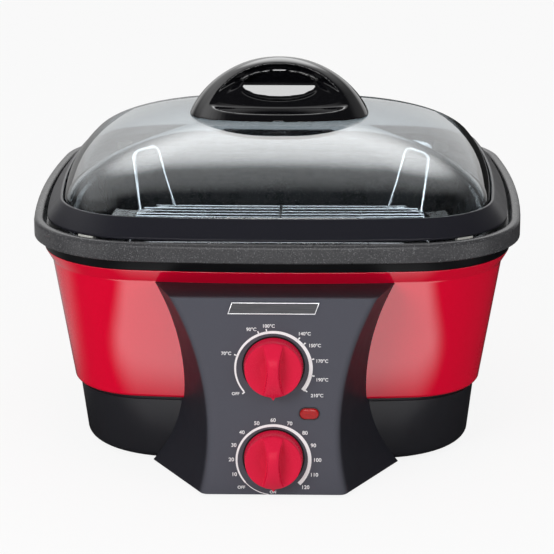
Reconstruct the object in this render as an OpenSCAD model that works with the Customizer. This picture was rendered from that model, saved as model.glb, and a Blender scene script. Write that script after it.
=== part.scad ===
// Counter-top multicooker: a red painted jacket on a black base, a front control
// pod with two turning knobs, a lift-out cooking pot, a wire rack that stands in
// the pot and a lift-off glass lid with a scooped grip.
// Millimetres. +X is the right side seen from the front, +Y the back, +Z up.
// The origin is the centre of the footprint, on the surface that the feet stand on.

/* [Plan outline] */
// Half width of the pot rim, across the middles of two opposite sides
rim_half = 185; // [178:1:192]
// Radius of the gently bowed sides
side_radius = 1000; // [700:50:1400]
// Radius of the four rounded corners at the rim
corner_radius = 85; // [80:1:92]

/* [Base] */
// Standing height of the rubber feet
foot_h = 3; // [2.5:0.5:6]
// Diameter of a rubber foot
foot_d = 26; // [20:1:30]
// Distance of the feet from the two centre planes
foot_pitch = 95; // [85:1:105]
// Height of the black base
base_h = 51; // [47:1:57]
// Inset of the base at its upper edge
base_in_top = 31.5; // [30.5:0.5:33]
// Inset of the base just above its rounded lower edge
base_in_low = 36; // [34:0.5:39]
// Radius of the rounded lower edge of the base
base_round = 6; // [4:0.5:9]
// Extra corner radius of the base at its lower edge
base_soft = 22; // [0:2:30]
// Height of the shadow groove under the jacket
groove_h = 3; // [2:0.5:4]
// Depth of the shadow groove
groove_d = 1.2; // [0.6:0.2:1.6]
// Wall thickness of the base moulding
base_wall = 3.2; // [2.4:0.2:4]
// Number of air slots in the floor of the base
vent_n = 7; // [3:2:9]
// Width of an air slot
vent_w = 5; // [3:0.5:7]
// Length of an air slot
vent_l = 60; // [40:5:80]

/* [Jacket] */
// Height of the painted jacket
jacket_h = 102; // [94:1:110]
// Sheet thickness of the jacket
jacket_t = 1.4; // [0.8:0.1:2]
// Inset of the jacket at its lower edge
jacket_in_low = 27.8; // [26:0.2:28.6]
// Inset of the jacket at the bottom of its flared lip
jacket_in_kink = 13.1; // [11:0.1:15]
// Inset of the flared upper edge
jacket_in_top = 7.5; // [6:0.1:9]
// Height of the flared lip
flare_h = 9.5; // [7:0.5:12]
// Width of the hem turned in at the lower edge
hem_w = 6.6; // [6:0.2:7.2]

/* [Collar] */
// Height of the black collar between the jacket and the pot rim
collar_h = 12.4; // [10:0.2:16]
// Thickness of the collar wall and of its flange
collar_t = 3; // [2:0.2:4]
// Inset of the inner edge of the collar flange
collar_in = 19; // [17:0.5:20]

/* [Liner and heater] */
// Sheet thickness of the inner liner
liner_t = 1.2; // [0.8:0.1:1.6]
// Diameter of the heating plate
plate_d = 200; // [170:5:210]
// Thickness of the heating plate
plate_t = 7; // [5:0.5:8]
// Diameter of the element's ring, centre to centre of the tube
element_d = 150; // [120:5:160]
// Diameter of the element tube
element_tube = 6; // [5:0.2:6.4]
// Angle swept by the element ring
element_sweep = 320; // [290:5:330]
// Diameter of a post under the heating plate
post_d = 8; // [6:0.5:12]

/* [Control pod] */
// Distance of the fascia's front from the pot axis
pod_reach = 213; // [206:1:220]
// Height of the pod's underside above the surface
pod_floor = 2; // [1:0.5:4]
// Height of the pod's upper front edge
pod_top = 148; // [144:1:150]
// Drop of the pod's top from its front edge back to the jacket
pod_drop = 2.5; // [0:0.5:4]
// Half width of the front face at its waist
face_waist = 45.7; // [42:0.5:50]
// Height of the front face's waist
face_waist_z = 47; // [40:1:55]
// Radius of the hollowed side edges of the front face
face_radius = 210; // [180:5:260]
// Half width of the pod at its waist where it meets the body
root_waist = 65.4; // [60:0.5:70]
// Height of the waist where the pod meets the body
root_waist_z = 66; // [58:1:74]
// Radius of the pod's edge on the body above the waist
root_radius_up = 180; // [150:5:240]
// Radius of the pod's edge on the body below the waist
root_radius_low = 100; // [90:5:140]
// Wall thickness of the pod moulding
pod_wall = 2.8; // [2:0.2:3.4]
// Thickness of the fascia plate
fascia_t = 3.2; // [2.6:0.2:4]
// Bevel round the fascia
fascia_bevel = 1.2; // [0.6:0.2:1.6]
// Width of the plain badge plate
badge_w = 61; // [40:1:70]
// Height of the plain badge plate
badge_h = 8.5; // [6:0.5:9]
// Distance of the badge plate's centre below the pod's upper front edge
badge_drop = 7; // [6:0.5:10]
// Thickness of the badge plate
badge_t = 0.8; // [0.5:0.1:1.2]

/* [Knobs] */
// Height of the upper knob's axis
temp_z = 98.5; // [94:0.5:102]
// Height of the lower knob's axis
timer_z = 30; // [27:0.2:31]
// Diameter of a knob at its skirt
knob_d = 42; // [40:0.5:44]
// Diameter of a knob's front edge
knob_face_d = 39.6; // [37:0.2:39.8]
// Height of the knob's skirt above the fascia
knob_skirt = 10; // [8:0.5:12]
// Height of the knob's grip above the fascia
knob_out = 18; // [16:0.5:22]
// Half width of the grip at its waist
grip_waist = 4.2; // [3.4:0.2:5]
// Half width of the grip at its ends
grip_end = 8.4; // [7:0.2:10]
// Diameter of a spindle
spindle_d = 6; // [5:0.2:6.4]
// Outer diameter of the bush round a spindle
bush_d = 10; // [9:0.5:12]
// Depth of the shallow well behind a knob
well_depth = 1.4; // [1:0.1:1.8]
// Width of the pilot lens
lens_w = 13.4; // [10:0.2:16]
// Height of the pilot lens
lens_h = 8; // [6:0.2:9]
// Distance of the lens from the centre plane
lens_x = 25.2; // [22:0.2:28]
// Height of the lens centre
lens_z = 63.5; // [61:0.5:66]

/* [Pot] */
// Height of the pot's rolled rim
rim_h = 13.6; // [11:0.2:16]
// Depth of the lid seat below the top of the rim
seat_depth = 6.4; // [5:0.2:7]
// Wall thickness of the pot
pot_t = 2.8; // [2:0.2:3.6]
// Inset of the pot's outer wall under the rim
pot_in_top = 24; // [22:0.5:26]
// Inset of the pot's outer wall above its floor
pot_in_low = 37; // [35:0.5:40]
// Inner radius between the wall and the floor
pot_round = 14; // [10:0.5:16]
// Inner depth from the lid seat to the floor
pot_depth = 103.5; // [96:0.5:104]

/* [Rack] */
// Half length of the rack
rack_x = 117; // [105:1:122]
// Half depth of the rack
rack_y = 100; // [96:1:105]
// Corner radius of the rack frame
rack_r = 40; // [34:1:46]
// Wire diameter of the frame
rack_wire = 4; // [3:0.2:5]
// Wire diameter of the grid
grid_wire = 2.6; // [2:0.2:3.2]
// Number of long grid wires
grid_n = 16; // [12:2:18]
// Pitch of the long grid wires
grid_pitch = 12; // [10:0.5:12.5]
// Height of the rack frame above the pot floor
rack_lift = 66; // [56:1:72]
// Height of the loop handles above the rack
loop_h = 55; // [46:1:58]
// Outward lean of the loop handles
loop_lean = 15; // [8:1:18]

/* [Lid] */
// Inset of the lower outer edge of the lid frame
lid_in = 10; // [9.4:0.2:11]
// Height of the sloping lid frame
lid_frame_h = 14; // [12:0.5:16]
// Inset of the glass edge
glass_in = 22; // [21:0.5:24]
// Rise of the glass dome
dome_h = 52.6; // [46:0.5:58]
// Thickness of the glass
glass_t = 4; // [3:0.5:5]
// Radius of the arch of the grip seen from the front
grip_arch = 78; // [72:1:90]
// Half depth of the grip's base
grip_y = 48; // [42:1:54]
// Half depth of the grip's ridge
grip_ridge = 12; // [10:1:16]
// Height of the grip above the glass
grip_h = 39.4; // [36:0.5:44]
// Half width of a finger scoop at its mouth
scoop_x = 58; // [50:1:62]
// Half width of the finger hole
hole_x = 29; // [24:1:32]
// Half height of the finger hole
hole_z = 9.8; // [8:0.2:11]
// Depth of the scooped face in front of the finger hole
scoop_depth = 13; // [9:0.5:15]
// Distance of the two lid screws from the centre
lid_screw_x = 28; // [20:1:34]

/* [Clearances] */
// Gap under pieces that are set down and lifted off again
seat_gap = 0.2; // [0.1:0.05:0.4]
// Gap between pieces that are fixed together
fit_gap = 0.15; // [0.05:0.05:0.3]
// Running gap round a spindle in its bush
run_gap = 0.08; // [0.05:0.01:0.1]
// Gap between the pod and the body behind it
pod_gap = 0.3; // [0.2:0.05:0.5]

/* [Hidden] */
$fn = 72;
eps = 0.01;

// Plan outline: four bowed sides joined by four tangent corner arcs.
plan_m = side_radius - rim_half;
plan_c = corner_at(0);
plan_a = atan2(plan_c, plan_c + plan_m);

// Heights that follow from the stack of pieces.
base_z = foot_h;
base_top = base_z + base_h;
jacket_z = base_top + fit_gap;
jacket_top = jacket_z + jacket_h;
kink_z = jacket_top - flare_h;
collar_z = jacket_top + fit_gap;
collar_top = collar_z + collar_h;
flange_z = collar_top + seat_gap;
flange_t = pot_t;
seat_z = flange_z + flange_t;
rim_top = seat_z + seat_depth;
rim_low = rim_top - rim_h;
rim_t = 3;
pot_floor = seat_z - pot_depth;
pot_base = pot_floor - pot_t;
plate_z = pot_base - seat_gap - plate_t;
liner_top = collar_top - collar_t - fit_gap;
liner_in = collar_in + 1;
liner_floor = base_top - 4;
liner_in_low = base_in_top + base_wall + 3;
rack_z = pot_floor + rack_lift;
grid_z = rack_z + (rack_wire + grid_wire) / 2 + fit_gap / 2;
leg_z = pot_floor + rack_wire / 2 + seat_gap;
bumper_z = seat_z + seat_gap;
bumper_h = seat_depth - seat_gap - 0.2;
lid_z = bumper_z + bumper_h + fit_gap;
lid_top = lid_z + lid_frame_h;
glass_z = lid_top - 5.5;
dome_r = rim_half - glass_in;
dome_top = glass_z + dome_h;
grip_z = dome_top + fit_gap;
grip_top = grip_z + grip_h;
grip_mid = grip_z + grip_h * 0.5;
pod_back = rim_half - base_in_low - base_round - 8;
shell_front = pod_reach - fascia_t;
cavity_front = shell_front - pod_wall;
badge_z = pod_top - badge_drop;
knob_gap = 0.7;
well_d = knob_d + 2.2;

// Depth of the footprint: knob fronts at one end, the pot rim at the other.
axis_y = (pod_reach + knob_out - rim_half) / 2;

// Rise of the jacket's inner face above its hem, and how far the sheet thickens there.
hem_rise = 2.6;
hem_swell = 0.8;

// Inset of the outer body surface at height z.
function body_in(z) =
    z >= kink_z ? jacket_in_kink + (jacket_in_top - jacket_in_kink) * (z - kink_z) / flare_h
    : z >= jacket_z ? jacket_in_low + (jacket_in_kink - jacket_in_low) * (z - jacket_z) / (kink_z - jacket_z)
    : z >= base_z + base_round
        ? base_in_low + (base_in_top - base_in_low) * (z - base_z - base_round) / (base_h - base_round)
    : base_in_low;

// Distance of the body's front from the pot axis at height z and distance x from the centre plane.
function body_y(x, z) = rim_half - body_in(z) - side_radius + sqrt(pow(side_radius, 2) - x * x);

// Inset of the jacket's inner face at height z, between its hem and its flared lip.
function jacket_back(z) =
    let (z0 = jacket_z + hem_rise, low = jacket_in_low + hem_swell)
    jacket_t + low + (jacket_in_kink - low) * (z - z0) / (kink_z - z0);

// Points of an arc in a profile, from angle a to angle b about point p.
function arc(p, r, a, b, n = 5) = [for (i = [0 : n]) p + r * [cos(a + (b - a) * i / n), sin(a + (b - a) * i / n)]];

// Points of the plan outline for an inset d, with corners rounder by e.
side_n = 4;
corner_n = 10;
plan_n = 4 * (side_n + corner_n);
side_sag = side_radius * (1 - cos(plan_a / side_n));
function spun(p, q) = [p[0] * cos(q) - p[1] * sin(q), p[0] * sin(q) + p[1] * cos(q)];
function side_point(a, d) = [-plan_m, 0] + (side_radius - d) * [cos(a), sin(a)];
function corner_at(e) = (sqrt(2 * pow(side_radius - corner_radius - e, 2) - pow(plan_m, 2)) - plan_m) / 2;
function corner_point(a, d, e) = let (c = corner_at(e)) [c, c] + (corner_radius + e - d) * [cos(a), sin(a)];
function plan_points(d, e = 0) = let (b = atan2(corner_at(e), corner_at(e) + plan_m))
    [for (q = [0 : 90 : 270]) each concat(
        [for (i = [0 : side_n - 1]) spun(side_point(b * (2 * i / side_n - 1), d), q)],
        [for (i = [0 : corner_n - 1]) spun(corner_point(b + (90 - 2 * b) * i / corner_n, d, e), q)])];

// Side faces between stacked rings of n points, rings a to b, wound one way.
function loft_faces(a, b, n) = [for (k = [a : b - 1], i = [0 : n - 1])
    let (p = k * n + i, q = k * n + (i + 1) % n) each [[p, p + n, q], [q, p + n, q + n]]];
function end_faces(m, n) = [[for (i = [0 : n - 1]) i], [for (i = [n - 1 : -1 : 0]) m * n + i]];
function ring_closing(m, n) = [for (i = [0 : n - 1]) let (p = m * n + i, q = m * n + (i + 1) % n)
    each [[p, i, q], [q, i, (i + 1) % n]]];

// Rings of the plan outline at points of inset, height and, if given, extra corner radius.
function plan_rings(profile) = [for (p = profile) each
    [for (v = plan_points(p[0], len(p) > 2 ? p[2] : 0)) [v[0], v[1], p[1]]]];

// Open ring swept round the plan outline, and a vessel whose two ends are floors.
// A vessel's profile runs from its outside floor up and over its rim to its inside floor.
module plan_ring(profile) {
    m = len(profile) - 1;
    polyhedron(plan_rings(profile), concat(loft_faces(0, m, plan_n), ring_closing(m, plan_n)));
}

module plan_vessel(profile) {
    m = len(profile) - 1;
    polyhedron(plan_rings(profile), concat(loft_faces(0, m, plan_n), end_faces(m, plan_n)));
}

// Round bar between two points.
module rod(a, b, d) {
    v = b - a;
    translate(a) rotate([0, acos(v[2] / norm(v)), atan2(v[1], v[0])]) cylinder(h = norm(v), d = d, $fn = 24);
}

// Bent wire along a flat path, with corners of bend radius r, drawn as a swept tube.
function unit(v) = v / norm(v);
function turn_of(a, b, c) = let (u = unit(b - a), v = unit(c - b)) atan2(u[0] * v[1] - u[1] * v[0], u * v);
function bend(a, b, c, r, n = 5) =
    let (t = turn_of(a, b, c), u = unit(b - a), k = r * tan(abs(t) / 2))
    let (o = b - k * u + r * sign(t) * [-u[1], u[0]], f = atan2(u[1], u[0]) - 90 * sign(t))
    [for (i = [0 : n]) [o + r * [cos(f + t * i / n), sin(f + t * i / n)], f + t * i / n + 90 * sign(t)]];
module wire(points, d, r) {
    n = 12;
    m = len(points) - 1;
    first = points[1] - points[0];
    last = points[m] - points[m - 1];
    path = concat(
        [[points[0], atan2(first[1], first[0])]],
        [for (i = [1 : m - 1]) each bend(points[i - 1], points[i], points[i + 1], r)],
        [[points[m], atan2(last[1], last[0])]]);
    rings = [for (p = path, i = [0 : n - 1]) let (e = 360 * i / n)
        [p[0][0] - d / 2 * cos(e) * sin(p[1]), p[0][1] + d / 2 * cos(e) * cos(p[1]), d / 2 * sin(e)]];
    polyhedron(rings, concat(loft_faces(0, len(path) - 1, n), end_faces(len(path) - 1, n)));
}

// Straight-sided slot with round ends, length w and height h.
module slot(w, h) {
    square([w - h, h], center = true);
    for (s = [-1, 1]) translate([s * (w - h) / 2, 0]) circle(d = h);
}

// Places its children on the four feet.
module at_feet() {
    for (x = [-1, 1], y = [-1, 1]) translate([x * foot_pitch, y * foot_pitch, 0]) children();
}

// Places its children on the fascia at height z, pointing out of the front.
module on_fascia(z, x = 0) {
    translate([x, -pod_reach, z]) rotate([90, 0, 0]) children();
}

// Moves the pot axis so that the footprint is centred on the origin.
module place() {
    translate([0, axis_y, 0]) children();
}

/* Base and body */

tie_d = 4;
tie_hole = tie_d + 0.6;
tie_seat = foot_h * 0.6;
tie_head = foot_h * 0.45;
boss_d = 13;
gland_d = 16;
gland_lip = 3;
gland_lip_t = 2.2;
gland_tail = 14;
gland_z = base_z + base_h * 0.45;
cord_d = 7;
wall_lean = atan2(base_in_low - base_in_top, base_h - base_round);

// Places its children on the back wall of the base, square to its slope.
module on_back_wall() {
    translate([0, rim_half - body_in(gland_z), gland_z]) rotate([-90 - wall_lean, 0, 0]) children();
}

// Lower rings of the base, with its rounder corners.
function softened(profile) = [for (p = profile) [p[0], p[1], base_soft]];

module base_tray() {
    low = [base_in_low + base_round, base_z + base_round];
    rib_z = base_top - groove_h;
    rib_in = body_in(rib_z);
    color([0.12, 0.11, 0.13]) difference() {
        union() {
            plan_vessel(concat(
                softened(arc(low, base_round, 270, 180)),
                [[rib_in, rib_z, base_soft * groove_h / (base_h - base_round)],
                 [rib_in + groove_d, rib_z, base_soft * groove_h / (base_h - base_round)],
                 [base_in_top + groove_d, base_top], [base_in_top + base_wall, base_top]],
                softened(arc(low, base_round - base_wall, 180, 270, 3))));
            at_feet() translate([0, 0, base_z + base_wall / 2])
                cylinder(h = liner_floor - fit_gap - base_z - base_wall / 2, d = boss_d);
        }
        at_feet() translate([0, 0, base_z - 1]) cylinder(h = base_h, d = tie_hole);
        for (i = [0 : vent_n - 1]) translate([(i - (vent_n - 1) / 2) * vent_w * 2.2, 0, base_z - 1])
            linear_extrude(base_wall + 2) rotate(90) slot(vent_l, vent_w);
        on_back_wall() translate([0, 0, -3 * base_wall]) cylinder(h = 5 * base_wall, d = gland_d + 2 * fit_gap);
    }
}

module rubber_feet() {
    color([0.06, 0.06, 0.06]) at_feet() difference() {
        union() {
            cylinder(h = foot_h / 2, d1 = foot_d - 3, d2 = foot_d);
            translate([0, 0, foot_h / 2]) cylinder(h = foot_h / 2, d = foot_d);
        }
        translate([0, 0, -1]) cylinder(h = foot_h + 2, d = tie_hole);
        translate([0, 0, -1]) cylinder(h = tie_seat + 1, d = tie_d * 2 + 3);
    }
}

module tie_screws() {
    color([0.7, 0.7, 0.72]) at_feet() {
        translate([0, 0, tie_seat - tie_head]) cylinder(h = tie_head, d = tie_d * 2);
        translate([0, 0, tie_seat - tie_head / 2])
            cylinder(h = liner_floor + liner_t + 4 - tie_seat + tie_head / 2, d = tie_d);
    }
}

module tie_nuts() {
    color([0.7, 0.7, 0.72]) at_feet() translate([0, 0, liner_floor + liner_t]) difference() {
        cylinder(h = 3.2, d = tie_d * 2, $fn = 6);
        translate([0, 0, -1]) cylinder(h = 6, d = tie_d + 2 * fit_gap);
    }
}

module jacket() {
    color([0.8, 0.02, 0.15]) difference() {
        plan_ring([
            [jacket_in_top + jacket_t, jacket_top],
            [jacket_in_kink + jacket_t, kink_z],
            [jacket_in_low + jacket_t + hem_swell, jacket_z + hem_rise],
            [jacket_in_low + hem_w, jacket_z + jacket_t],
            [jacket_in_low + hem_w, jacket_z],
            [jacket_in_low + 1.2, jacket_z],
            [jacket_in_low, jacket_z + 1.6],
            [jacket_in_kink, kink_z],
            [jacket_in_top, jacket_top]]);
        pod_fixings() cylinder(h = 40, d = screw_d + 0.4);
    }
}

module collar_ring() {
    color([0.1, 0.1, 0.11]) plan_ring([
        [jacket_in_top + 0.1, collar_z],
        [jacket_in_top - 1.2, collar_top],
        [collar_in, collar_top],
        [collar_in, collar_top - collar_t],
        [jacket_in_top + collar_t - 1, collar_top - collar_t],
        [jacket_in_top + collar_t, collar_z]]);
}

module inner_liner() {
    color([0.75, 0.75, 0.77]) difference() {
        plan_vessel([
            [liner_in_low, liner_floor],
            [liner_in, liner_top - liner_t],
            [jacket_in_top + collar_t + 0.6, liner_top - liner_t],
            [jacket_in_top + collar_t + 0.6, liner_top],
            [liner_in + liner_t, liner_top],
            [liner_in_low + liner_t, liner_floor + liner_t]]);
        at_feet() translate([0, 0, liner_floor - 1]) cylinder(h = liner_t + 2, d = tie_hole);
        element_ends() translate([0, 0, liner_floor - 1]) cylinder(h = liner_t + 2, d = element_tube + 4);
    }
}

/* Heater */

element_z = plate_z - fit_gap - element_tube / 2;
element_drop = 12;
cutout_d = 16;
block_w = 36;
block_deep = 18;
block_h = 14;
pole_d = 5;
pole_pitch = 11;

module element_ends() {
    for (s = [-1, 1]) rotate([0, 0, 90 + s * (360 - element_sweep) / 2])
        translate([element_d / 2, 0, 0]) children();
}

module heating_plate() {
    color([0.6, 0.6, 0.62]) translate([0, 0, plate_z]) cylinder(h = plate_t, d = plate_d, $fn = 96);
}

module heating_element() {
    color([0.35, 0.35, 0.36]) {
        rotate([0, 0, 90 + (360 - element_sweep) / 2]) translate([0, 0, element_z])
            rotate_extrude(angle = element_sweep, $fn = 96)
                translate([element_d / 2, 0]) circle(d = element_tube, $fn = 24);
        element_ends() {
            translate([0, 0, element_z]) sphere(d = element_tube, $fn = 24);
            translate([0, 0, liner_floor - element_drop])
                cylinder(h = element_z - liner_floor + element_drop, d = element_tube, $fn = 24);
        }
    }
}

module heater_posts() {
    color([0.7, 0.7, 0.72]) for (t = [0 : 120 : 240]) rotate([0, 0, t + 30])
        translate([plate_d / 2 - post_d, 0, liner_floor + liner_t])
            cylinder(h = plate_z - liner_floor - liner_t, d = post_d);
}

module thermal_cutout() {
    color([0.8, 0.78, 0.7]) translate([0, 0, liner_floor + liner_t])
        cylinder(h = plate_z - liner_floor - liner_t - fit_gap, d = cutout_d);
}

module terminal_block() {
    y = rim_half - base_in_low - base_round - 40;
    color([0.9, 0.9, 0.88]) translate([0, y, base_z + base_wall]) difference() {
        translate([-block_w / 2, -block_deep / 2, 0]) cube([block_w, block_deep, block_h]);
        for (i = [-1 : 1]) translate([i * pole_pitch, 0, block_h * 0.4]) cylinder(h = block_h, d = pole_d);
    }
}

module cord_gland() {
    inside = base_wall + 5;
    color([0.08, 0.08, 0.08]) on_back_wall() difference() {
        union() {
            translate([0, 0, -inside]) cylinder(h = inside + gland_lip_t, d = gland_d);
            translate([0, 0, fit_gap]) cylinder(h = gland_lip_t, d = gland_d + 2 * gland_lip);
            translate([0, 0, gland_lip_t]) cylinder(h = gland_tail, d1 = gland_d - 2, d2 = gland_d - 5);
        }
        translate([0, 0, -inside - 1]) cylinder(h = inside + gland_lip_t + gland_tail + 2, d = cord_d);
    }
}

/* Control pod */

screw_d = 3.5;
screw_head = 1.8;
screw_len = 13;

// Half width of the front face and of the pod's root at height z.
function face_w(z) = face_waist + face_radius - sqrt(pow(face_radius, 2) - pow(z - face_waist_z, 2));
function root_r(z) = z > root_waist_z ? root_radius_up : root_radius_low;
function root_w(z) = root_waist + root_r(z) - sqrt(pow(root_r(z), 2) - pow(z - root_waist_z, 2));

// Half width of the pod at height z and distance y in front of the pot axis. Its root is set out
// on the jacket's slope, carried on down past the base.
function root_y(z) = rim_half - (z >= kink_z ? body_in(z)
    : jacket_in_low + (jacket_in_kink - jacket_in_low) * (z - jacket_z) / (kink_z - jacket_z));
function pod_w(z, y) =
    let (y0 = root_y(z))
    face_w(z) + (root_w(z) - face_w(z)) * (pod_reach - y) / (pod_reach - y0);

// Pod body as stacked sections, drawn in by wall all round.
module pod_block(wall, front) {
    n = 24;
    z0 = pod_floor + wall;
    rows = [for (i = [0 : n])
        let (zf = z0 + (pod_top - wall - z0) * i / n)
        let (zb = z0 + (pod_top - wall - pod_drop - z0) * i / n)
        let (wf = pod_w(zf, front) - wall, wb = pod_w(zb, pod_back) - wall)
        [[-wf, -front, zf], [wf, -front, zf], [wb, -pod_back, zb], [-wb, -pod_back, zb]]];
    polyhedron([for (r = rows, p = r) p], concat(loft_faces(0, n, 4), end_faces(n, 4)));
}

// Solid that fills the body's front, for cutting the pod's back to its curve.
module body_front() {
    g = side_radius + pod_gap;
    translate([0, plan_m, 0]) rotate([0, 0, -90 - plan_a - 3]) rotate_extrude(angle = 2 * plan_a + 6, $fn = 360)
        polygon([[side_radius - rim_half, -5], [g - base_in_low, -5], [g - base_in_low, base_z + base_round],
            [g - base_in_top, base_top], [g - jacket_in_low, jacket_z], [g - jacket_in_kink, kink_z],
            [g - jacket_in_top, jacket_top], [g, jacket_top + 30], [side_radius - rim_half, jacket_top + 30]]);
}

// Places its children on the four fixing screws, pointing forward from inside the body.
fix_up = [46, pod_top - 24];
fix_low = [34, root_waist_z + 8];
module pod_fixings() {
    for (s = [-1, 1], p = [fix_up, fix_low]) {
        y = rim_half - body_in(p[1]) - 16;
        $run = cavity_front - y;
        translate([s * p[0], -y, p[1]]) rotate([90, 0, 0]) children();
    }
}

module control_pod() {
    color([0.13, 0.13, 0.15]) difference() {
        union() {
            difference() {
                pod_block(0, shell_front);
                pod_block(pod_wall, cavity_front);
            }
            pod_fixings() cylinder(h = $run + pod_wall / 2, d = screw_d + 6);
        }
        body_front();
        pod_fixings() cylinder(h = 30, d = screw_d + 2 * fit_gap);
        for (z = [temp_z, timer_z]) on_fascia(z)
            translate([0, 0, -20]) cylinder(h = 22, d = bush_d + 2 * fit_gap);
        on_fascia(lens_z, lens_x) translate([0, 0, -20]) linear_extrude(22)
            slot(lens_w + 2 * fit_gap, lens_h + 2 * fit_gap);
    }
}

// Outline of the front face, drawn in by d.
module face_flat(d) {
    difference() {
        translate([-rim_half / 2, pod_floor + d]) square([rim_half, pod_top - pod_floor - 2 * d]);
        for (s = [-1, 1]) translate([s * (face_waist + face_radius), face_waist_z])
            circle(face_radius + d, $fn = 360);
    }
}

module pod_fascia() {
    color([0.36, 0.36, 0.39]) difference() {
        on_fascia(0) translate([0, 0, -fascia_t + fit_gap / 2]) {
            linear_extrude(fascia_t - fascia_bevel - fit_gap / 2) face_flat(0);
            linear_extrude(fascia_t - fit_gap / 2) face_flat(fascia_bevel);
        }
        for (z = [temp_z, timer_z]) on_fascia(z) {
            translate([0, 0, -well_depth]) cylinder(h = 5, d = well_d);
            translate([0, 0, -10]) cylinder(h = 20, d = bush_d + 2 * fit_gap);
        }
        on_fascia(lens_z, lens_x) translate([0, 0, -10]) linear_extrude(20)
            slot(lens_w + 2 * fit_gap, lens_h + 2 * fit_gap);
    }
}

// Distance from the pot axis of a screw head that lies on the sloping inner face of the jacket.
function head_y(p) = rim_half - jacket_back(p[1] - screw_d) - side_sag - fit_gap
    - side_radius + sqrt(pow(side_radius, 2) - pow(p[0] + screw_d, 2));

module pod_screws() {
    color([0.7, 0.7, 0.72]) for (s = [-1, 1], p = [fix_up, fix_low])
        translate([s * p[0], -head_y(p), p[1]]) rotate([90, 0, 0]) {
            translate([0, 0, -screw_head]) cylinder(h = screw_head, d = screw_d * 2);
            translate([0, 0, -screw_head / 2]) cylinder(h = screw_len + screw_head / 2, d = screw_d);
        }
}

module badge_plate() {
    lean = badge_h * 0.35;
    color([0.75, 0.75, 0.77]) on_fascia(badge_z) linear_extrude(badge_t)
        polygon([[-badge_w / 2 - lean / 2, -badge_h / 2], [badge_w / 2 - lean / 2, -badge_h / 2],
            [badge_w / 2 + lean / 2, badge_h / 2], [-badge_w / 2 + lean / 2, badge_h / 2]]);
}

lens_back = fascia_t + pod_wall;
lens_flange = 1.6;
lamp_len = 14;
lamp_d = 7;

module lamp_lens() {
    color([0.7, 0.05, 0.1]) on_fascia(lens_z, lens_x) {
        translate([0, 0, -lens_back - fit_gap]) linear_extrude(lens_back + fit_gap + 1.2)
            slot(lens_w, lens_h);
        translate([0, 0, -lens_back - lens_flange]) linear_extrude(lens_flange - fit_gap)
            slot(lens_w + 3, lens_h + 3);
    }
}

module pilot_lamp() {
    color([0.9, 0.6, 0.4]) on_fascia(lens_z, lens_x)
        translate([0, 0, -lens_back - lens_flange - fit_gap - lamp_len]) cylinder(h = lamp_len, d = lamp_d);
}

bush_len = lens_back - well_depth;
spindle_in = 11;
stat_d = 40;
stat_len = 18;
timer_side = 42;
timer_len = 24;
tab = [6, 1, 8];

// Two flat terminal tabs behind a switch body of depth len, at distance x from its axis.
module tabs(x, len) {
    for (s = [-1, 1]) translate([s * x - tab[0] / 2, -tab[0] / 2, -lens_back - len - tab[2]])
        cube([tab[0], tab[1], tab[2] + 1]);
}

// Bush with its bore, from the back of the pod's front wall to the floor of the well.
module bush_of() {
    translate([0, 0, -lens_back - 1]) cylinder(h = bush_len + 1 - 0.1, d = bush_d);
}

module spindle_bore() {
    translate([0, 0, -lens_back - spindle_in - 1])
        cylinder(h = lens_back + spindle_in + knob_skirt, d = spindle_d + 2 * run_gap);
}

module thermostat_body() {
    color([0.8, 0.8, 0.78]) on_fascia(temp_z) difference() {
        union() {
            translate([0, 0, -lens_back - stat_len]) cylinder(h = stat_len - fit_gap, d = stat_d);
            bush_of();
            tabs(stat_d / 5, stat_len);
        }
        spindle_bore();
    }
}

module timer_body() {
    color([0.85, 0.85, 0.83]) on_fascia(timer_z) difference() {
        union() {
            translate([-timer_side / 2, -timer_side / 2, -lens_back - timer_len])
                cube([timer_side, timer_side, timer_len - fit_gap]);
            bush_of();
            tabs(timer_side / 4, timer_len);
        }
        spindle_bore();
    }
}

module spindle() {
    translate([0, 0, -lens_back - spindle_in])
        cylinder(h = lens_back + spindle_in + knob_skirt + 1, d = spindle_d);
}

module temp_spindle() {
    color([0.75, 0.75, 0.72]) on_fascia(temp_z) spindle();
}

module timer_spindle() {
    color([0.75, 0.75, 0.72]) on_fascia(timer_z) spindle();
}

// Turning knob: a tapered skirt and a waisted grip whose ends fall away to the rim.
module knob() {
    sag = grip_end - grip_waist;
    hollow = (pow(knob_face_d / 2, 2) + sag * sag) / (2 * sag);
    crown = knob_d * 0.7;
    difference() {
        union() {
            translate([0, 0, knob_gap - well_depth])
                cylinder(h = knob_skirt - knob_gap + well_depth, d1 = knob_d, d2 = knob_face_d);
            intersection() {
                translate([0, 0, knob_skirt - 1]) linear_extrude(knob_out) difference() {
                    circle(d = knob_face_d - 0.6);
                    for (s = [-1, 1]) translate([s * (grip_waist + hollow), 0]) circle(hollow, $fn = 180);
                }
                translate([0, 0, knob_out - crown]) sphere(crown, $fn = 96);
            }
            translate([0, 0, 2]) linear_extrude(knob_skirt - 3)
                polygon([[-3, 2 - knob_face_d / 2], [3, 2 - knob_face_d / 2], [0, -knob_d / 2 - 1.6]]);
        }
        translate([0, 0, -5]) cylinder(h = 6 + knob_skirt + fit_gap, d = spindle_d + 2 * fit_gap);
    }
}

module temp_knob() {
    color([0.83, 0.12, 0.22]) on_fascia(temp_z) knob();
}

module timer_knob() {
    color([0.83, 0.12, 0.22]) on_fascia(timer_z) knob();
}

/* Pot */

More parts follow.
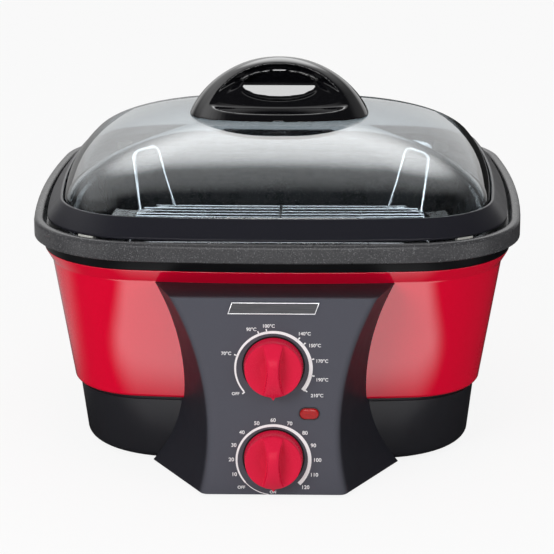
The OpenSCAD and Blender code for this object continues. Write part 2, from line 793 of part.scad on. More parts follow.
module cooking_pot() {
    low = [pot_in_low + pot_t + pot_round, pot_floor + pot_round];
    color([0.24, 0.24, 0.25]) plan_vessel(concat(
        arc(low, pot_round + pot_t, 270, 180, 4),
        [[pot_in_top, flange_z], [rim_t, flange_z], [rim_t, rim_low], [0, rim_low]],
        arc([3.4, rim_top - 3.4], 3.4, 180, 90, 3),
        [[6, rim_top - 1], [7.4, rim_top - 3], [8.6, seat_z], [pot_in_top - 2, seat_z],
         [pot_in_top + pot_t, seat_z - pot_t - 1]],
        arc(low, pot_round, 180, 270, 4)));
}

/* Rack */

// Half length of the rack at distance y from its centre line.
function rack_half(y) = abs(y) <= rack_y - rack_r ? rack_x
    : rack_x - rack_r + sqrt(pow(rack_r, 2) - pow(abs(y) - rack_y + rack_r, 2));

module rack_frame() {
    color([0.8, 0.8, 0.82]) translate([0, 0, rack_z]) {
        for (s = [-1, 1]) {
            rod([-rack_x + rack_r, s * rack_y, 0], [rack_x - rack_r, s * rack_y, 0], rack_wire);
            rod([s * rack_x, -rack_y + rack_r, 0], [s * rack_x, rack_y - rack_r, 0], rack_wire);
        }
        for (q = [0 : 3]) let (x = q == 0 || q == 3 ? 1 : -1, y = q < 2 ? 1 : -1)
            translate([x * (rack_x - rack_r), y * (rack_y - rack_r), 0])
                rotate([0, 0, 90 * q]) rotate_extrude(angle = 90)
                    translate([rack_r, 0]) circle(d = rack_wire, $fn = 24);
    }
}

module rack_grid() {
    color([0.8, 0.8, 0.82]) for (i = [0 : grid_n - 1]) {
        y = (i - (grid_n - 1) / 2) * grid_pitch;
        rod([-rack_half(y), y, grid_z], [rack_half(y), y, grid_z], grid_wire);
    }
}

module rack_cross() {
    span = rack_y - rack_wire / 2 - fit_gap;
    z = grid_z + grid_wire + fit_gap / 2;
    color([0.8, 0.8, 0.82]) rod([0, -span, z], [0, span, z], grid_wire);
}

module rack_legs() {
    x = rack_x - rack_r - 10;
    top = rack_z - rack_wire / 2 - fit_gap;
    color([0.8, 0.8, 0.82]) for (s = [-1, 1]) translate([s * x, 0, 0]) rotate([90, 0, 90])
        wire([[-rack_y, top], [-rack_y, leg_z], [rack_y, leg_z], [rack_y, top]], rack_wire, 3 * rack_wire);
}

// Upright loop that straddles a back corner of the rack frame.
module rack_loop() {
    d = rack_wire - 0.4;
    from = 15;
    to = 72;
    mid = (from + to) / 2;
    span = 2 * rack_r * sin((to - from) / 2);
    lean = asin(loop_lean / loop_h);
    foot = rack_wire / 2 + fit_gap + d / 2 * sin(lean);
    translate([rack_x - rack_r + rack_r * cos(from), rack_y - rack_r + rack_r * sin(from), rack_z + foot])
        rotate([90 + lean, 0, mid + 90])
            wire([[0, 0], [0.15 * span, loop_h], [0.85 * span, loop_h], [span, 0]], d, 2.2 * d);
}

module rack_handle_left() {
    color([0.82, 0.82, 0.84]) mirror([1, 0, 0]) rack_loop();
}

module rack_handle_right() {
    color([0.82, 0.82, 0.84]) rack_loop();
}

/* Lid */

module lid_frame() {
    edge = glass_in - 0.3;
    color([0.16, 0.16, 0.19]) plan_ring([
        [lid_in, lid_z],
        [lid_in, lid_z + 1.6],
        [edge - 1.8, lid_top],
        [edge, lid_top],
        [edge, glass_z - fit_gap],
        [edge + glass_t + 1, glass_z - fit_gap],
        [edge + glass_t + 1, glass_z - 2],
        [edge - 2, glass_z - 2],
        [lid_in + 2.4, lid_z]]);
}

// Height of the dome above its edge, at share s of its half width.
function dome_rise(s, h) = h * sqrt(max(0, 1 - pow(s, 2.4)));

// Rings of the dome, square at the edge and round at the top.
module dome_solid(d, h) {
    m = 9;
    edge = plan_points(d);
    rings = [for (k = [0 : m - 1]) let (s = sin(90 * (m - k) / m)) each
        [for (v = edge) let (w = s * s * v + s * (1 - s) * (rim_half - d) * unit(v))
            [w[0], w[1], glass_z + dome_rise(s, h)]]];
    top = m * plan_n;
    polyhedron(concat(rings, [[0, 0, glass_z + h]]), concat(
        [[for (i = [0 : plan_n - 1]) i]],
        loft_faces(0, m - 1, plan_n),
        [for (i = [0 : plan_n - 1]) [top - plan_n + i, top, top - plan_n + (i + 1) % plan_n]]));
}

module at_lid_screws() {
    for (s = [-1, 1]) translate([s * lid_screw_x, 0, 0]) children();
}

module lid_glass() {
    color([0.6, 0.68, 0.7, 0.45]) difference() {
        dome_solid(glass_in, dome_h);
        translate([0, 0, -eps]) dome_solid(glass_in + glass_t, dome_h - glass_t);
        at_lid_screws() translate([0, 0, glass_z]) cylinder(h = dome_h + 5, d = 7);
    }
}

module lid_bumpers() {
    color([0.85, 0.85, 0.83]) for (sx = [-1, 1], sy = [-1, 1]) scale([sx, sy, 1])
        translate([plan_c, plan_c, bumper_z]) rotate([0, 0, 52]) rotate_extrude(angle = 10)
            translate([corner_radius - lid_in - 4, 0]) square([4, bumper_h]);
}

// Outline of the grip at share t of its height: half width, and half depth with a rounded crest.
function grip_half(t) = sqrt(max(0, pow(grip_arch, 2) - pow(grip_arch - grip_h * (1 - t), 2)));
function grip_deep(t) = grip_ridge * sqrt(1 - pow(max(0, t * 5 - 4), 2))
    + (grip_y - grip_ridge) * pow(1 - t, 1.15);
function power(v, e) = sign(v) * pow(abs(v), e);

// Block of the grip, begun a little below the top of the glass so that it can be cut to the dome.
module grip_block() {
    n = 48;
    m = 13;
    rows = concat([-0.12], [for (k = [0 : m - 1]) sin(90 * k / (m - 1))]);
    points = [for (t = rows, i = [0 : n - 1]) let (a = 360 * (i + 0.5) / n)
        [max(1, grip_half(t)) * power(cos(a), 0.8), max(1, grip_deep(t)) * power(sin(a), 0.8),
         grip_z + grip_h * t]];
    polyhedron(points, concat(loft_faces(0, m, n), end_faces(m, n)));
}

// Outline of a finger scoop, blended from its arched mouth (w = 0) to the oval hole (w = 1).
function scoop_point(a, w) =
    let (low = grip_z + 4.5)
    let (tall = grip_h * 0.92 - 4.5)
    let (mx = scoop_x * power(cos(a), 0.9), mz = low + (sin(a) > 0 ? tall * power(sin(a), 1.1) : 1.2 * sin(a)))
    let (hx = hole_x * cos(a), hz = grip_mid + hole_z * sin(a))
    [mx + (hx - mx) * w, mz + (hz - mz) * w];

// Distance of the sloping face from the centre plane at height z.
function face_y(z) = grip_deep(max(0, min(1, (z - grip_z) / grip_h)));

module finger_scoop() {
    n = 40;
    web = 3;
    taper = 0.92;
    rise = 0.55;
    steps = [[0, 12], [0, 0], [0.25, -scoop_depth * 0.5], [0.6, -scoop_depth * 0.85], [1, -scoop_depth]];
    m = len(steps);
    points = concat(
        [for (s = steps, i = [0 : n - 1]) let (p = scoop_point(360 * (i + 0.5) / n, s[0]))
            [p[0], -max(web + 2, face_y(p[1]) + s[1]), p[1]]],
        [for (i = [0 : n - 1]) let (p = scoop_point(360 * (i + 0.5) / n, 1))
            [p[0] * taper, -web, grip_mid + hole_z * 0.35 + (p[1] - grip_mid) * rise]]);
    polyhedron(points, concat(
        [for (f = loft_faces(0, m, n)) [f[2], f[1], f[0]]],
        [for (f = end_faces(m, n)) [for (i = [n - 1 : -1 : 0]) f[i]]]));
}

lid_screw_d = 4.8;
washer_t = 2;
washer_d = 18;
lid_head = 3;
washer_z = glass_z + dome_rise((lid_screw_x + washer_d / 2) / dome_r, dome_h - glass_t) - washer_t - fit_gap;

module lid_grip() {
    color([0.14, 0.14, 0.16]) difference() {
        grip_block();
        dome_solid(glass_in, dome_h + fit_gap);
        finger_scoop();
        rotate([0, 0, 180]) finger_scoop();
        at_lid_screws() translate([0, 0, grip_z - 1]) cylinder(h = 10, d = lid_screw_d + 2 * fit_gap);
    }
}

module lid_washers() {
    color([0.1, 0.1, 0.1]) at_lid_screws() translate([0, 0, washer_z]) difference() {
        cylinder(h = washer_t, d = washer_d);
        translate([0, 0, -1]) cylinder(h = washer_t + 2, d = lid_screw_d + 2 * fit_gap);
    }
}

module lid_screws() {
    color([0.75, 0.75, 0.77]) at_lid_screws() {
        translate([0, 0, washer_z - fit_gap - lid_head]) cylinder(h = lid_head, d = lid_screw_d * 2);
        translate([0, 0, washer_z - 1]) cylinder(h = grip_z + 8 - washer_z + 1, d = lid_screw_d);
    }
}

place() base_tray();
place() rubber_feet();
place() tie_screws();
place() tie_nuts();
place() jacket();
place() collar_ring();
place() inner_liner();
place() heating_plate();
place() heating_element();
place() heater_posts();
place() thermal_cutout();
place() terminal_block();
place() cord_gland();
place() control_pod();
place() pod_fascia();
place() pod_screws();
place() badge_plate();
place() lamp_lens();
place() pilot_lamp();
place() thermostat_body();
place() timer_body();
place() temp_spindle();
place() timer_spindle();
place() temp_knob();
place() timer_knob();
place() cooking_pot();
place() rack_frame();
place() rack_grid();
place() rack_cross();
place() rack_legs();
place() rack_handle_left();
place() rack_handle_right();
place() lid_frame();
place() lid_glass();
place() lid_bumpers();
place() lid_grip();
place() lid_washers();
place() lid_screws();
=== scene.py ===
"""Looks of a counter-top multicooker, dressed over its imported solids."""

import logging
import math
from dataclasses import dataclass, field
from enum import Enum
from typing import Sequence

import bpy
from mathutils import Matrix, Vector


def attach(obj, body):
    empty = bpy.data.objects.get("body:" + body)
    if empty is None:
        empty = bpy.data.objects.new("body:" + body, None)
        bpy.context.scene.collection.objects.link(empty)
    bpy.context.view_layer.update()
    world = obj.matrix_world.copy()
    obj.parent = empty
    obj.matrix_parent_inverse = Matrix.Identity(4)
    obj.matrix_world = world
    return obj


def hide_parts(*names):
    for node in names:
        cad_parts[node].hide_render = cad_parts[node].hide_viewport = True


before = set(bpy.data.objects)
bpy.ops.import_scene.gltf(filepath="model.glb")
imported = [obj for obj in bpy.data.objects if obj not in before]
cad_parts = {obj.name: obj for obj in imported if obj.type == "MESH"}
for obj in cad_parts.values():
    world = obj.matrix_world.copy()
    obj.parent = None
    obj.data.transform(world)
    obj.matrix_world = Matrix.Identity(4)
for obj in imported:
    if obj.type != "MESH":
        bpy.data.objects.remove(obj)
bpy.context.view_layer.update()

MM = 0.001
CLOUD = 26.0  # size of a finish's broad clouds, counted in grains
THROUGH = 0.03  # length of a tool that cuts right through a wall, in metres
LOG = logging.getLogger("multicooker")
Obj = bpy.types.Object
Outputs = bpy.types.NodeOutputs
Socket = bpy.types.NodeSocket
Pair = tuple[float, float]
Triple = tuple[float, float, float]
Profile = Sequence[Triple]
Colour = Triple


class Body(Enum):
    """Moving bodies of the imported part."""

    HOUSING = "housing"
    TEMP_DIAL = "temp_dial"
    TIMER_DIAL = "timer_dial"
    POT = "pot"
    RACK = "rack"
    LID = "lid"


class Grain(Enum):
    """How a finish breaks up its colour and its gloss."""

    MOULDED = "moulded"
    ENAMEL = "enamel"
    SPECKLED = "speckled"
    BRUSHED = "brushed"
    POLISHED = "polished"
    CAST = "cast"


# Finishes


@dataclass(frozen=True)
class Graph:
    """Short ways to add nodes to one node tree.

    Attributes:
        tree: The node tree.
    """

    tree: bpy.types.NodeTree

    def node(self, kind: str) -> bpy.types.Node:
        """Add a node, given the last part of its type's name."""
        return self.tree.nodes.new(f"ShaderNode{kind}")

    def feed(self, socket: Socket, value: Socket | float | tuple[float, ...]) -> None:
        """Link a socket to another one, or set its value."""
        if isinstance(value, Socket):
            self.tree.links.new(value, socket)
        else:
            socket.default_value = value

    def split(self, vector: Socket) -> Outputs:
        """Part a vector into X, Y and Z."""
        parts = self.node("SeparateXYZ")
        self.feed(parts.inputs[0], vector)
        return parts.outputs

    def math(self, operation: str, first: Socket, second: Socket | float = 0.0) -> Socket:
        """Join two values by one operation."""
        node = self.node("Math")
        node.operation = operation
        self.feed(node.inputs[0], first)
        self.feed(node.inputs[1], second)
        return node.outputs[0]

    def spread(
        self, value: Socket, given: Pair, wanted: Pair = (0.0, 1.0), soft: bool = False
    ) -> Socket:
        """Map one range to another.

        Args:
            value: Socket of the value.
            given: Ends of its range.
            wanted: Ends of the new range.
            soft: Whether the ends are eased.

        Returns:
            The mapped value.
        """
        node = self.node("MapRange")
        node.interpolation_type = "SMOOTHSTEP" if soft else "LINEAR"
        for name, number in zip(("From Min", "From Max", "To Min", "To Max"), (*given, *wanted)):
            node.inputs[name].default_value = number
        self.feed(node.inputs["Value"], value)
        return node.outputs["Result"]

    def either(self, test: Socket, no: Socket | float, yes: Socket | float) -> Socket:
        """Choose between two values by a socket that is 0 or 1."""
        node = self.node("Mix")
        for socket, value in zip((node.inputs[0], node.inputs[2], node.inputs[3]), (test, no, yes)):
            self.feed(socket, value)
        return node.outputs[0]

    def blend(self, share: Socket, first: Colour | Socket, second: Colour) -> Socket:
        """Mix two colours.

        Args:
            share: Socket of the share of the second colour.
            first: First colour, or its socket.
            second: Second colour.

        Returns:
            The mixed colour.
        """
        node = self.node("Mix")
        node.data_type = "RGBA"
        ends = {s.name: s for s in node.inputs if s.type == "RGBA"}
        self.feed(ends["A"], (*first, 1.0) if isinstance(first, tuple) else first)
        self.feed(ends["B"], (*second, 1.0))
        self.feed(node.inputs["Factor"], share)
        return next(s for s in node.outputs if s.type == "RGBA")


@dataclass(frozen=True)
class Finish:
    """One surface finish as a node material.

    Attributes:
        name: Name of the material.
        colour: Main colour, linear.
        second: Colour of the specks, streaks or clouds, linear.
        roughness: Middle of the gloss range.
        swing: Half width of the gloss range.
        grain: How the colour and gloss are broken up.
        size: Size of the grain in millimetres.
        bump: Height of the grain in millimetres.
        metallic: Share of metal.
        coat: Weight of the clear coat.
        coat_ior: Refractive index of the clear coat.
        ior: Refractive index of the surface.
        transmission: Share of light let through.
        behind: Colour behind the front face, where it differs; on the pod, partly the black
            moulding and partly painted shade on the sides.
        fade: Places along Y in metres where the front colour ends and the other is full.
    """

    name: str
    colour: Colour
    second: Colour
    roughness: float
    swing: float
    grain: Grain
    size: float
    bump: float
    metallic: float = 0.0
    coat: float = 0.0
    coat_ior: float = 1.5
    ior: float = 1.5
    transmission: float = 0.0
    behind: Colour | None = None
    fade: Pair = (0.0, 1.0)

    def material(self) -> bpy.types.Material:
        """Make the material, or return the one already made.

        Returns:
            The node material of this finish.
        """
        name = f"{self.name}_finish"
        made = bpy.data.materials.get(name)
        if made is not None:
            return made
        made = bpy.data.materials.new(name)
        made.use_nodes = True
        graph = Graph(made.node_tree)
        shader = graph.tree.nodes["Principled BSDF"].inputs
        shader["Metallic"].default_value = self.metallic
        shader["Coat Weight"].default_value = self.coat
        shader["Coat Roughness"].default_value = 0.03
        shader["Coat IOR"].default_value = self.coat_ior
        shader["IOR"].default_value = self.ior
        shader["Transmission Weight"].default_value = self.transmission
        place = graph.node("TexCoord").outputs["Object"]
        ends = (0.56, 0.66) if self.grain is Grain.SPECKLED else (0.3, 0.7)
        fine = self._noise(graph, place, self.size, ends)
        cloud = self._noise(graph, place, self.size * CLOUD, (0.35, 0.65))
        colour = graph.blend(fine, self.colour, self.second)
        # Colour changes with depth along Y; on the pod this darkens the sides, partly painted
        # shade.
        if self.behind is not None:
            depth = graph.spread(graph.split(place)["Y"], self.fade, soft=True)
            colour = graph.blend(depth, colour, self.behind)
        graph.feed(shader["Base Color"], colour)
        gloss = (max(0.0, self.roughness - self.swing), self.roughness + self.swing)
        both = graph.math("ADD", fine, cloud)
        graph.feed(shader["Roughness"], graph.spread(both, (0.0, 2.0), gloss))
        if self.bump > 0.0:
            bump = graph.node("Bump")
            bump.inputs["Strength"].default_value = 0.6
            bump.inputs["Distance"].default_value = self.bump * MM
            graph.feed(bump.inputs["Height"], fine)
            graph.feed(shader["Normal"], bump.outputs["Normal"])
        return made

    def _noise(self, graph: Graph, place: Socket, size: float, ends: Pair) -> Socket:
        """Add a noise at the surface's own place.

        Args:
            graph: Nodes of the material.
            place: Socket of the place.
            size: Size of its clouds in millimetres.
            ends: Noise that becomes 0 and noise that becomes 1.

        Returns:
            A socket from 0 to 1.
        """
        turn = graph.node("Mapping")
        if self.grain is Grain.BRUSHED:
            turn.inputs["Scale"].default_value = (0.04, 1.0, 1.0)
        graph.feed(turn.inputs["Vector"], place)
        noise = graph.node("TexNoise")
        noise.inputs["Scale"].default_value = 1.0 / (size * MM)
        noise.inputs["Detail"].default_value = 4.0
        noise.inputs["Roughness"].default_value = 0.6
        graph.feed(noise.inputs["Vector"], turn.outputs["Vector"])
        return graph.spread(noise.outputs["Fac"], ends)


ENAMEL = Finish(
    "red_enamel", (0.74, 0.0008, 0.03), (0.71, 0.0006, 0.026), 0.28, 0.04,
    Grain.ENAMEL, 1.6, 0.003, coat=1.0, coat_ior=2.0, ior=1.06,
)
BASE_BLACK = Finish(
    "base_black", (0.014, 0.014, 0.017), (0.018, 0.018, 0.022), 0.34, 0.05,
    Grain.MOULDED, 0.7, 0.02, ior=1.4,
)
COLLAR_BLACK = Finish(
    "collar_black", (0.003, 0.003, 0.004), (0.005, 0.005, 0.006), 0.34, 0.05,
    Grain.MOULDED, 0.7, 0.02, ior=1.25,
)
NONSTICK = Finish(
    "speckled_nonstick", (0.044, 0.044, 0.047), (0.16, 0.16, 0.165), 0.32, 0.07,
    Grain.SPECKLED, 0.9, 0.03, ior=1.35,
)
LID_BLACK = Finish(
    "lid_charcoal", (0.012, 0.012, 0.017), (0.015, 0.015, 0.021), 0.36, 0.04,
    Grain.MOULDED, 0.8, 0.015, ior=1.4,
)
GRIP_BLACK = Finish(
    "grip_black", (0.002, 0.002, 0.003), (0.004, 0.004, 0.005), 0.06, 0.02,
    Grain.POLISHED, 3.0, 0.0, ior=1.8,
)
SMOKED = Finish(
    "smoked_glass", (0.58, 0.63, 0.66), (0.61, 0.66, 0.69), 0.015, 0.012,
    Grain.POLISHED, 8.0, 0.0, ior=1.6, transmission=1.0,
)
# Grey front and darker sides: the sides are partly the black moulding and partly painted shade.
POD_GREY = Finish(
    "pod_grey", (0.063, 0.064, 0.08), (0.069, 0.07, 0.087), 0.48, 0.04,
    Grain.MOULDED, 0.6, 0.012, ior=1.3,
    behind=(0.018, 0.018, 0.024), fade=(-0.1893, -0.1835),
)
POD_BLACK = Finish(
    "pod_black", (0.014, 0.014, 0.017), (0.018, 0.018, 0.021), 0.36, 0.04,
    Grain.MOULDED, 0.6, 0.012,
)
KNOB_RED = Finish(
    "knob_red", (0.64, 0.01, 0.045), (0.66, 0.013, 0.052), 0.26, 0.04,
    Grain.MOULDED, 0.8, 0.006, ior=1.2,
)
LENS_RED = Finish(
    "lens_red", (0.42, 0.002, 0.003), (0.26, 0.001, 0.002), 0.2, 0.04,
    Grain.POLISHED, 1.4, 0.05, ior=1.4,
)
CHROME = Finish(
    "wire_chrome", (0.9, 0.9, 0.91), (0.84, 0.84, 0.86), 0.14, 0.05,
    Grain.POLISHED, 4.0, 0.0, metallic=1.0,
)
STEEL = Finish(
    "plain_steel", (0.6, 0.6, 0.61), (0.5, 0.5, 0.52), 0.34, 0.08,
    Grain.BRUSHED, 0.8, 0.01, metallic=1.0,
)
SHEET = Finish(
    "liner_sheet", (0.68, 0.68, 0.7), (0.6, 0.6, 0.62), 0.36, 0.08,
    Grain.BRUSHED, 1.0, 0.01, metallic=1.0,
)
CAST_PLATE = Finish(
    "cast_plate", (0.5, 0.5, 0.51), (0.4, 0.4, 0.41), 0.5, 0.1, Grain.CAST, 1.2, 0.05, metallic=1.0,
)
OXIDE = Finish(
    "element_oxide", (0.1, 0.1, 0.1), (0.15, 0.14, 0.13), 0.55, 0.1,
    Grain.CAST, 1.5, 0.03, metallic=0.6,
)
CERAMIC = Finish(
    "white_ceramic", (0.75, 0.73, 0.66), (0.68, 0.66, 0.6), 0.4, 0.06, Grain.CAST, 1.0, 0.02,
)
SWITCH = Finish(
    "switch_plastic", (0.7, 0.7, 0.67), (0.64, 0.64, 0.61), 0.45, 0.06, Grain.MOULDED, 0.7, 0.02,
)
RUBBER = Finish(
    "black_rubber", (0.018, 0.018, 0.018), (0.026, 0.026, 0.026), 0.75, 0.08,
    Grain.MOULDED, 0.8, 0.05,
)
SILICONE = Finish(
    "pale_silicone", (0.68, 0.68, 0.64), (0.62, 0.62, 0.58), 0.55, 0.06, Grain.MOULDED, 1.0, 0.02,
)
BADGE = Finish(
    "badge_field", (0.05, 0.05, 0.056), (0.075, 0.075, 0.08), 0.36, 0.06,
    Grain.BRUSHED, 0.5, 0.01, metallic=0.5,
)
BORDER = Finish(
    "badge_border", (0.8, 0.8, 0.82), (0.7, 0.7, 0.72), 0.3, 0.06,
    Grain.BRUSHED, 0.5, 0.006, metallic=0.8,
)
BULB = Finish(
    "lamp_glass", (0.9, 0.62, 0.42), (0.85, 0.55, 0.36), 0.06, 0.03,
    Grain.POLISHED, 2.0, 0.0, transmission=0.7,
)
INK = Finish(
    "white_ink", (0.88, 0.88, 0.89), (0.82, 0.82, 0.83), 0.5, 0.05, Grain.MOULDED, 0.5, 0.0,
)


# Shared modelling steps


def deselect() -> None:
    """Leave edit mode and deselect everything."""
    if bpy.context.object is not None and bpy.context.object.mode != "OBJECT":
        mode("OBJECT")
    bpy.ops.object.select_all(action="DESELECT")


def mode(name: str) -> None:
    """Switch the active object to EDIT or OBJECT mode."""
    bpy.ops.object.mode_set(mode=name)


def freeze() -> None:
    """Apply the place, turn and scale of the picked object."""
    bpy.ops.object.transform_apply(location=True, rotation=True, scale=True)


def turns(count: int, start: float = 0.5) -> list[float]:
    """Angles once round a ring, the first one again at the end."""
    return [2 * math.pi * (i % count + start) / count for i in range(count + 1)]


def pick(obj: Obj) -> None:
    """Make one object the only selected and active one.

    Args:
        obj: Object to pick.
    """
    deselect()
    obj.select_set(True)
    bpy.context.view_layer.objects.active = obj


def named(obj: Obj, name: str) -> Obj:
    """Name an object and its mesh.

    Args:
        obj: Object to name.
        name: Its new name.

    Returns:
        The same object.
    """
    obj.name = name
    obj.data.name = name
    return obj


def bend(start: Vector, corner: Vector, end: Vector, steps: int) -> list[Vector]:
    """Points of a curve that leaves start and meets end, drawn towards a corner."""
    shares = [k / steps for k in range(steps + 1)]
    return [start * (1 - t) ** 2 + corner * 2 * t * (1 - t) + end * t * t for t in shares]


def along(first: Pair, last: Pair, place: float) -> float:
    """Value at a place on the line through two points, each a place and a value."""
    return first[1] + (last[1] - first[1]) * (place - first[0]) / (last[0] - first[0])


def fillet(corners: Profile, steps: int = 5) -> list[Pair]:
    """Round the corners of a flat path.

    Args:
        corners: Points as (across, up, radius).
        steps: Segments in each rounded corner.

    Returns:
        The points of the rounded path.
    """
    path: list[Pair] = []
    count = len(corners)
    for i, (x, z, radius) in enumerate(corners):
        if radius <= 0.0:
            path.append((x, z))
            continue
        here = Vector((x, z))
        before = Vector(corners[i - 1][:2]) - here
        after = Vector(corners[(i + 1) % count][:2]) - here
        half = before.angle(after) / 2.0
        run = min(radius / math.tan(half), 0.48 * before.length, 0.48 * after.length)
        start = here + before.normalized() * run
        end = here + after.normalized() * run
        path += [(p.x, p.y) for p in bend(start, here, end, steps)]
    return path


def trace(name: str, points: Sequence[Vector], closed: bool = False) -> Obj:
    """Draw a path by pulling one vertex from point to point, and stay in edit mode.

    Args:
        name: Name of the new piece.
        points: Points in metres.
        closed: Whether the path returns to its first point.

    Returns:
        The new object.
    """
    deselect()
    bpy.ops.mesh.primitive_plane_add(size=MM)
    obj = named(bpy.context.object, name)
    mode("EDIT")
    bpy.context.tool_settings.mesh_select_mode = (True, False, False)
    bpy.ops.mesh.select_all(action="SELECT")
    bpy.ops.mesh.merge(type="CENTER")
    bpy.ops.transform.translate(value=points[0])
    stops = [*points, points[0]] if closed else list(points)
    for start, end in zip(stops, stops[1:]):
        bpy.ops.mesh.extrude_vertices_move(TRANSFORM_OT_translate={"value": end - start})
    bpy.ops.mesh.select_all(action="SELECT")
    if closed:
        bpy.ops.mesh.remove_doubles(threshold=1e-6)
    return obj


def tidy(obj: Obj, angle: float = 32.0) -> Obj:
    """Close seams, turn faces outwards and smooth a finished mesh.

    Args:
        obj: Piece to finish.
        angle: Largest angle in degrees that is still smooth.

    Returns:
        The same piece.
    """
    pick(obj)
    mode("EDIT")
    bpy.ops.mesh.select_all(action="SELECT")
    bpy.ops.mesh.remove_doubles(threshold=2e-6)
    bpy.ops.mesh.normals_make_consistent(inside=False)
    mode("OBJECT")
    bpy.ops.object.shade_smooth_by_angle(angle=math.radians(angle))
    return obj


def loft(name: str, rows: Sequence[Sequence[Vector]], caps: Sequence[int] = ()) -> Obj:
    """Shape a grid primitive into rows of points.

    Args:
        name: Name of the new piece.
        rows: Rows of points in metres, all of one length.
        caps: Rows that are closed by a face.

    Returns:
        The new object, in object mode.
    """
    deselect()
    across, along = len(rows[0]), len(rows)
    bpy.ops.mesh.primitive_grid_add(x_subdivisions=across - 1, y_subdivisions=along - 1, size=1.0)
    obj = named(bpy.context.object, name)
    flat = [c for row in rows for point in row for c in point]
    obj.data.vertices.foreach_set("co", flat)
    obj.data.update()
    for row in caps:
        for part in (obj.data.vertices, obj.data.edges, obj.data.polygons):
            part.foreach_set("select", [False] * len(part))
        for k in range(across):
            obj.data.vertices[row % along * across + k].select = True
        pick(obj)
        mode("EDIT")
        bpy.ops.mesh.edge_face_add()
        mode("OBJECT")
    return obj


def block(name: str, rows: Sequence[Sequence[Vector]], angle: float = 32.0) -> Obj:
    """Loft rows of points into a shape that is closed at both ends.

    Args:
        name: Name of the new piece.
        rows: Rows of points in metres, all of one length.
        angle: Largest angle in degrees that is still smooth.

    Returns:
        The closed shape.
    """
    return tidy(loft(name, rows, caps=(0, -1)), angle)


def use(obj: Obj, kind: str, **settings: object) -> None:
    """Add a modifier and apply it.

    Args:
        obj: Piece to change.
        kind: Blender's name of the modifier.
        settings: Values of the modifier.
    """
    pick(obj)
    made = obj.modifiers.new(kind.lower(), kind)
    for key, value in settings.items():
        setattr(made, key, value)
    bpy.ops.object.modifier_apply(modifier=made.name)


def cut(obj: Obj, tool: Obj, operation: str = "DIFFERENCE") -> None:
    """Cut or join a piece with a tool, which is then removed.

    Args:
        obj: Piece to change.
        tool: Closed shape.
        operation: DIFFERENCE, UNION or INTERSECT.
    """
    use(obj, "BOOLEAN", operation=operation, object=tool, solver="EXACT")
    bpy.data.objects.remove(tool)


def tube(name: str, points: Sequence[Vector], diameter: float, closed: bool = False) -> Obj:
    """Make a round wire along a path.

    Args:
        name: Name of the new piece.
        points: Points of the centre line in metres.
        diameter: Wire diameter in metres.
        closed: Whether the wire returns to its first point.

    Returns:
        The wire as a mesh.
    """
    obj = trace(name, points, closed)
    mode("OBJECT")
    bpy.ops.object.convert(target="CURVE")
    obj = bpy.context.object
    obj.data.bevel_depth = diameter / 2.0
    obj.data.bevel_resolution = 4
    obj.data.use_fill_caps = True
    bpy.ops.object.convert(target="MESH")
    return tidy(named(bpy.context.object, name), 50.0)


def joined(parts: Sequence[Obj], name: str) -> Obj:
    """Join pieces into one.

    Args:
        parts: Pieces to join.
        name: Name of the joined piece.

    Returns:
        The joined piece.
    """
    deselect()
    for part in parts:
        part.select_set(True)
    bpy.context.view_layer.objects.active = parts[0]
    bpy.ops.object.join()
    return named(bpy.context.object, name)


def rod_tool(name: str, radius: float, length: float, at: Vector, turn: Vector) -> Obj:
    """Make a round cutting tool.

    Args:
        name: Name of the tool.
        radius: Its radius in metres.
        length: Its length in metres.
        at: Its middle.
        turn: Its rotation in radians.

    Returns:
        The tool.
    """
    deselect()
    bpy.ops.mesh.primitive_cylinder_add(
        vertices=96, radius=radius, depth=length, location=at, rotation=turn
    )
    freeze()
    return named(bpy.context.object, name)


def dress(obj: Obj, finish: Finish) -> None:
    """Give a piece one finish.

    Args:
        obj: Piece to dress.
        finish: Its finish.
    """
    obj.data.materials.clear()
    obj.data.materials.append(finish.material())


def seat(obj: Obj, finish: Finish, body: Body, slot: str, *nodes: str) -> None:
    """Dress a finished piece and set it on its body.

    Args:
        obj: Finished piece.
        finish: Its finish.
        body: Body that it moves with.
        slot: Material slot name; not used.
        nodes: Solids that it stands for.
    """
    dress(obj, finish)
    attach(obj, body.value)
    if nodes:
        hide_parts(*nodes)
    LOG.info("%s: %d faces on %s", obj.name, len(obj.data.polygons), body.value)


# Sub-assemblies


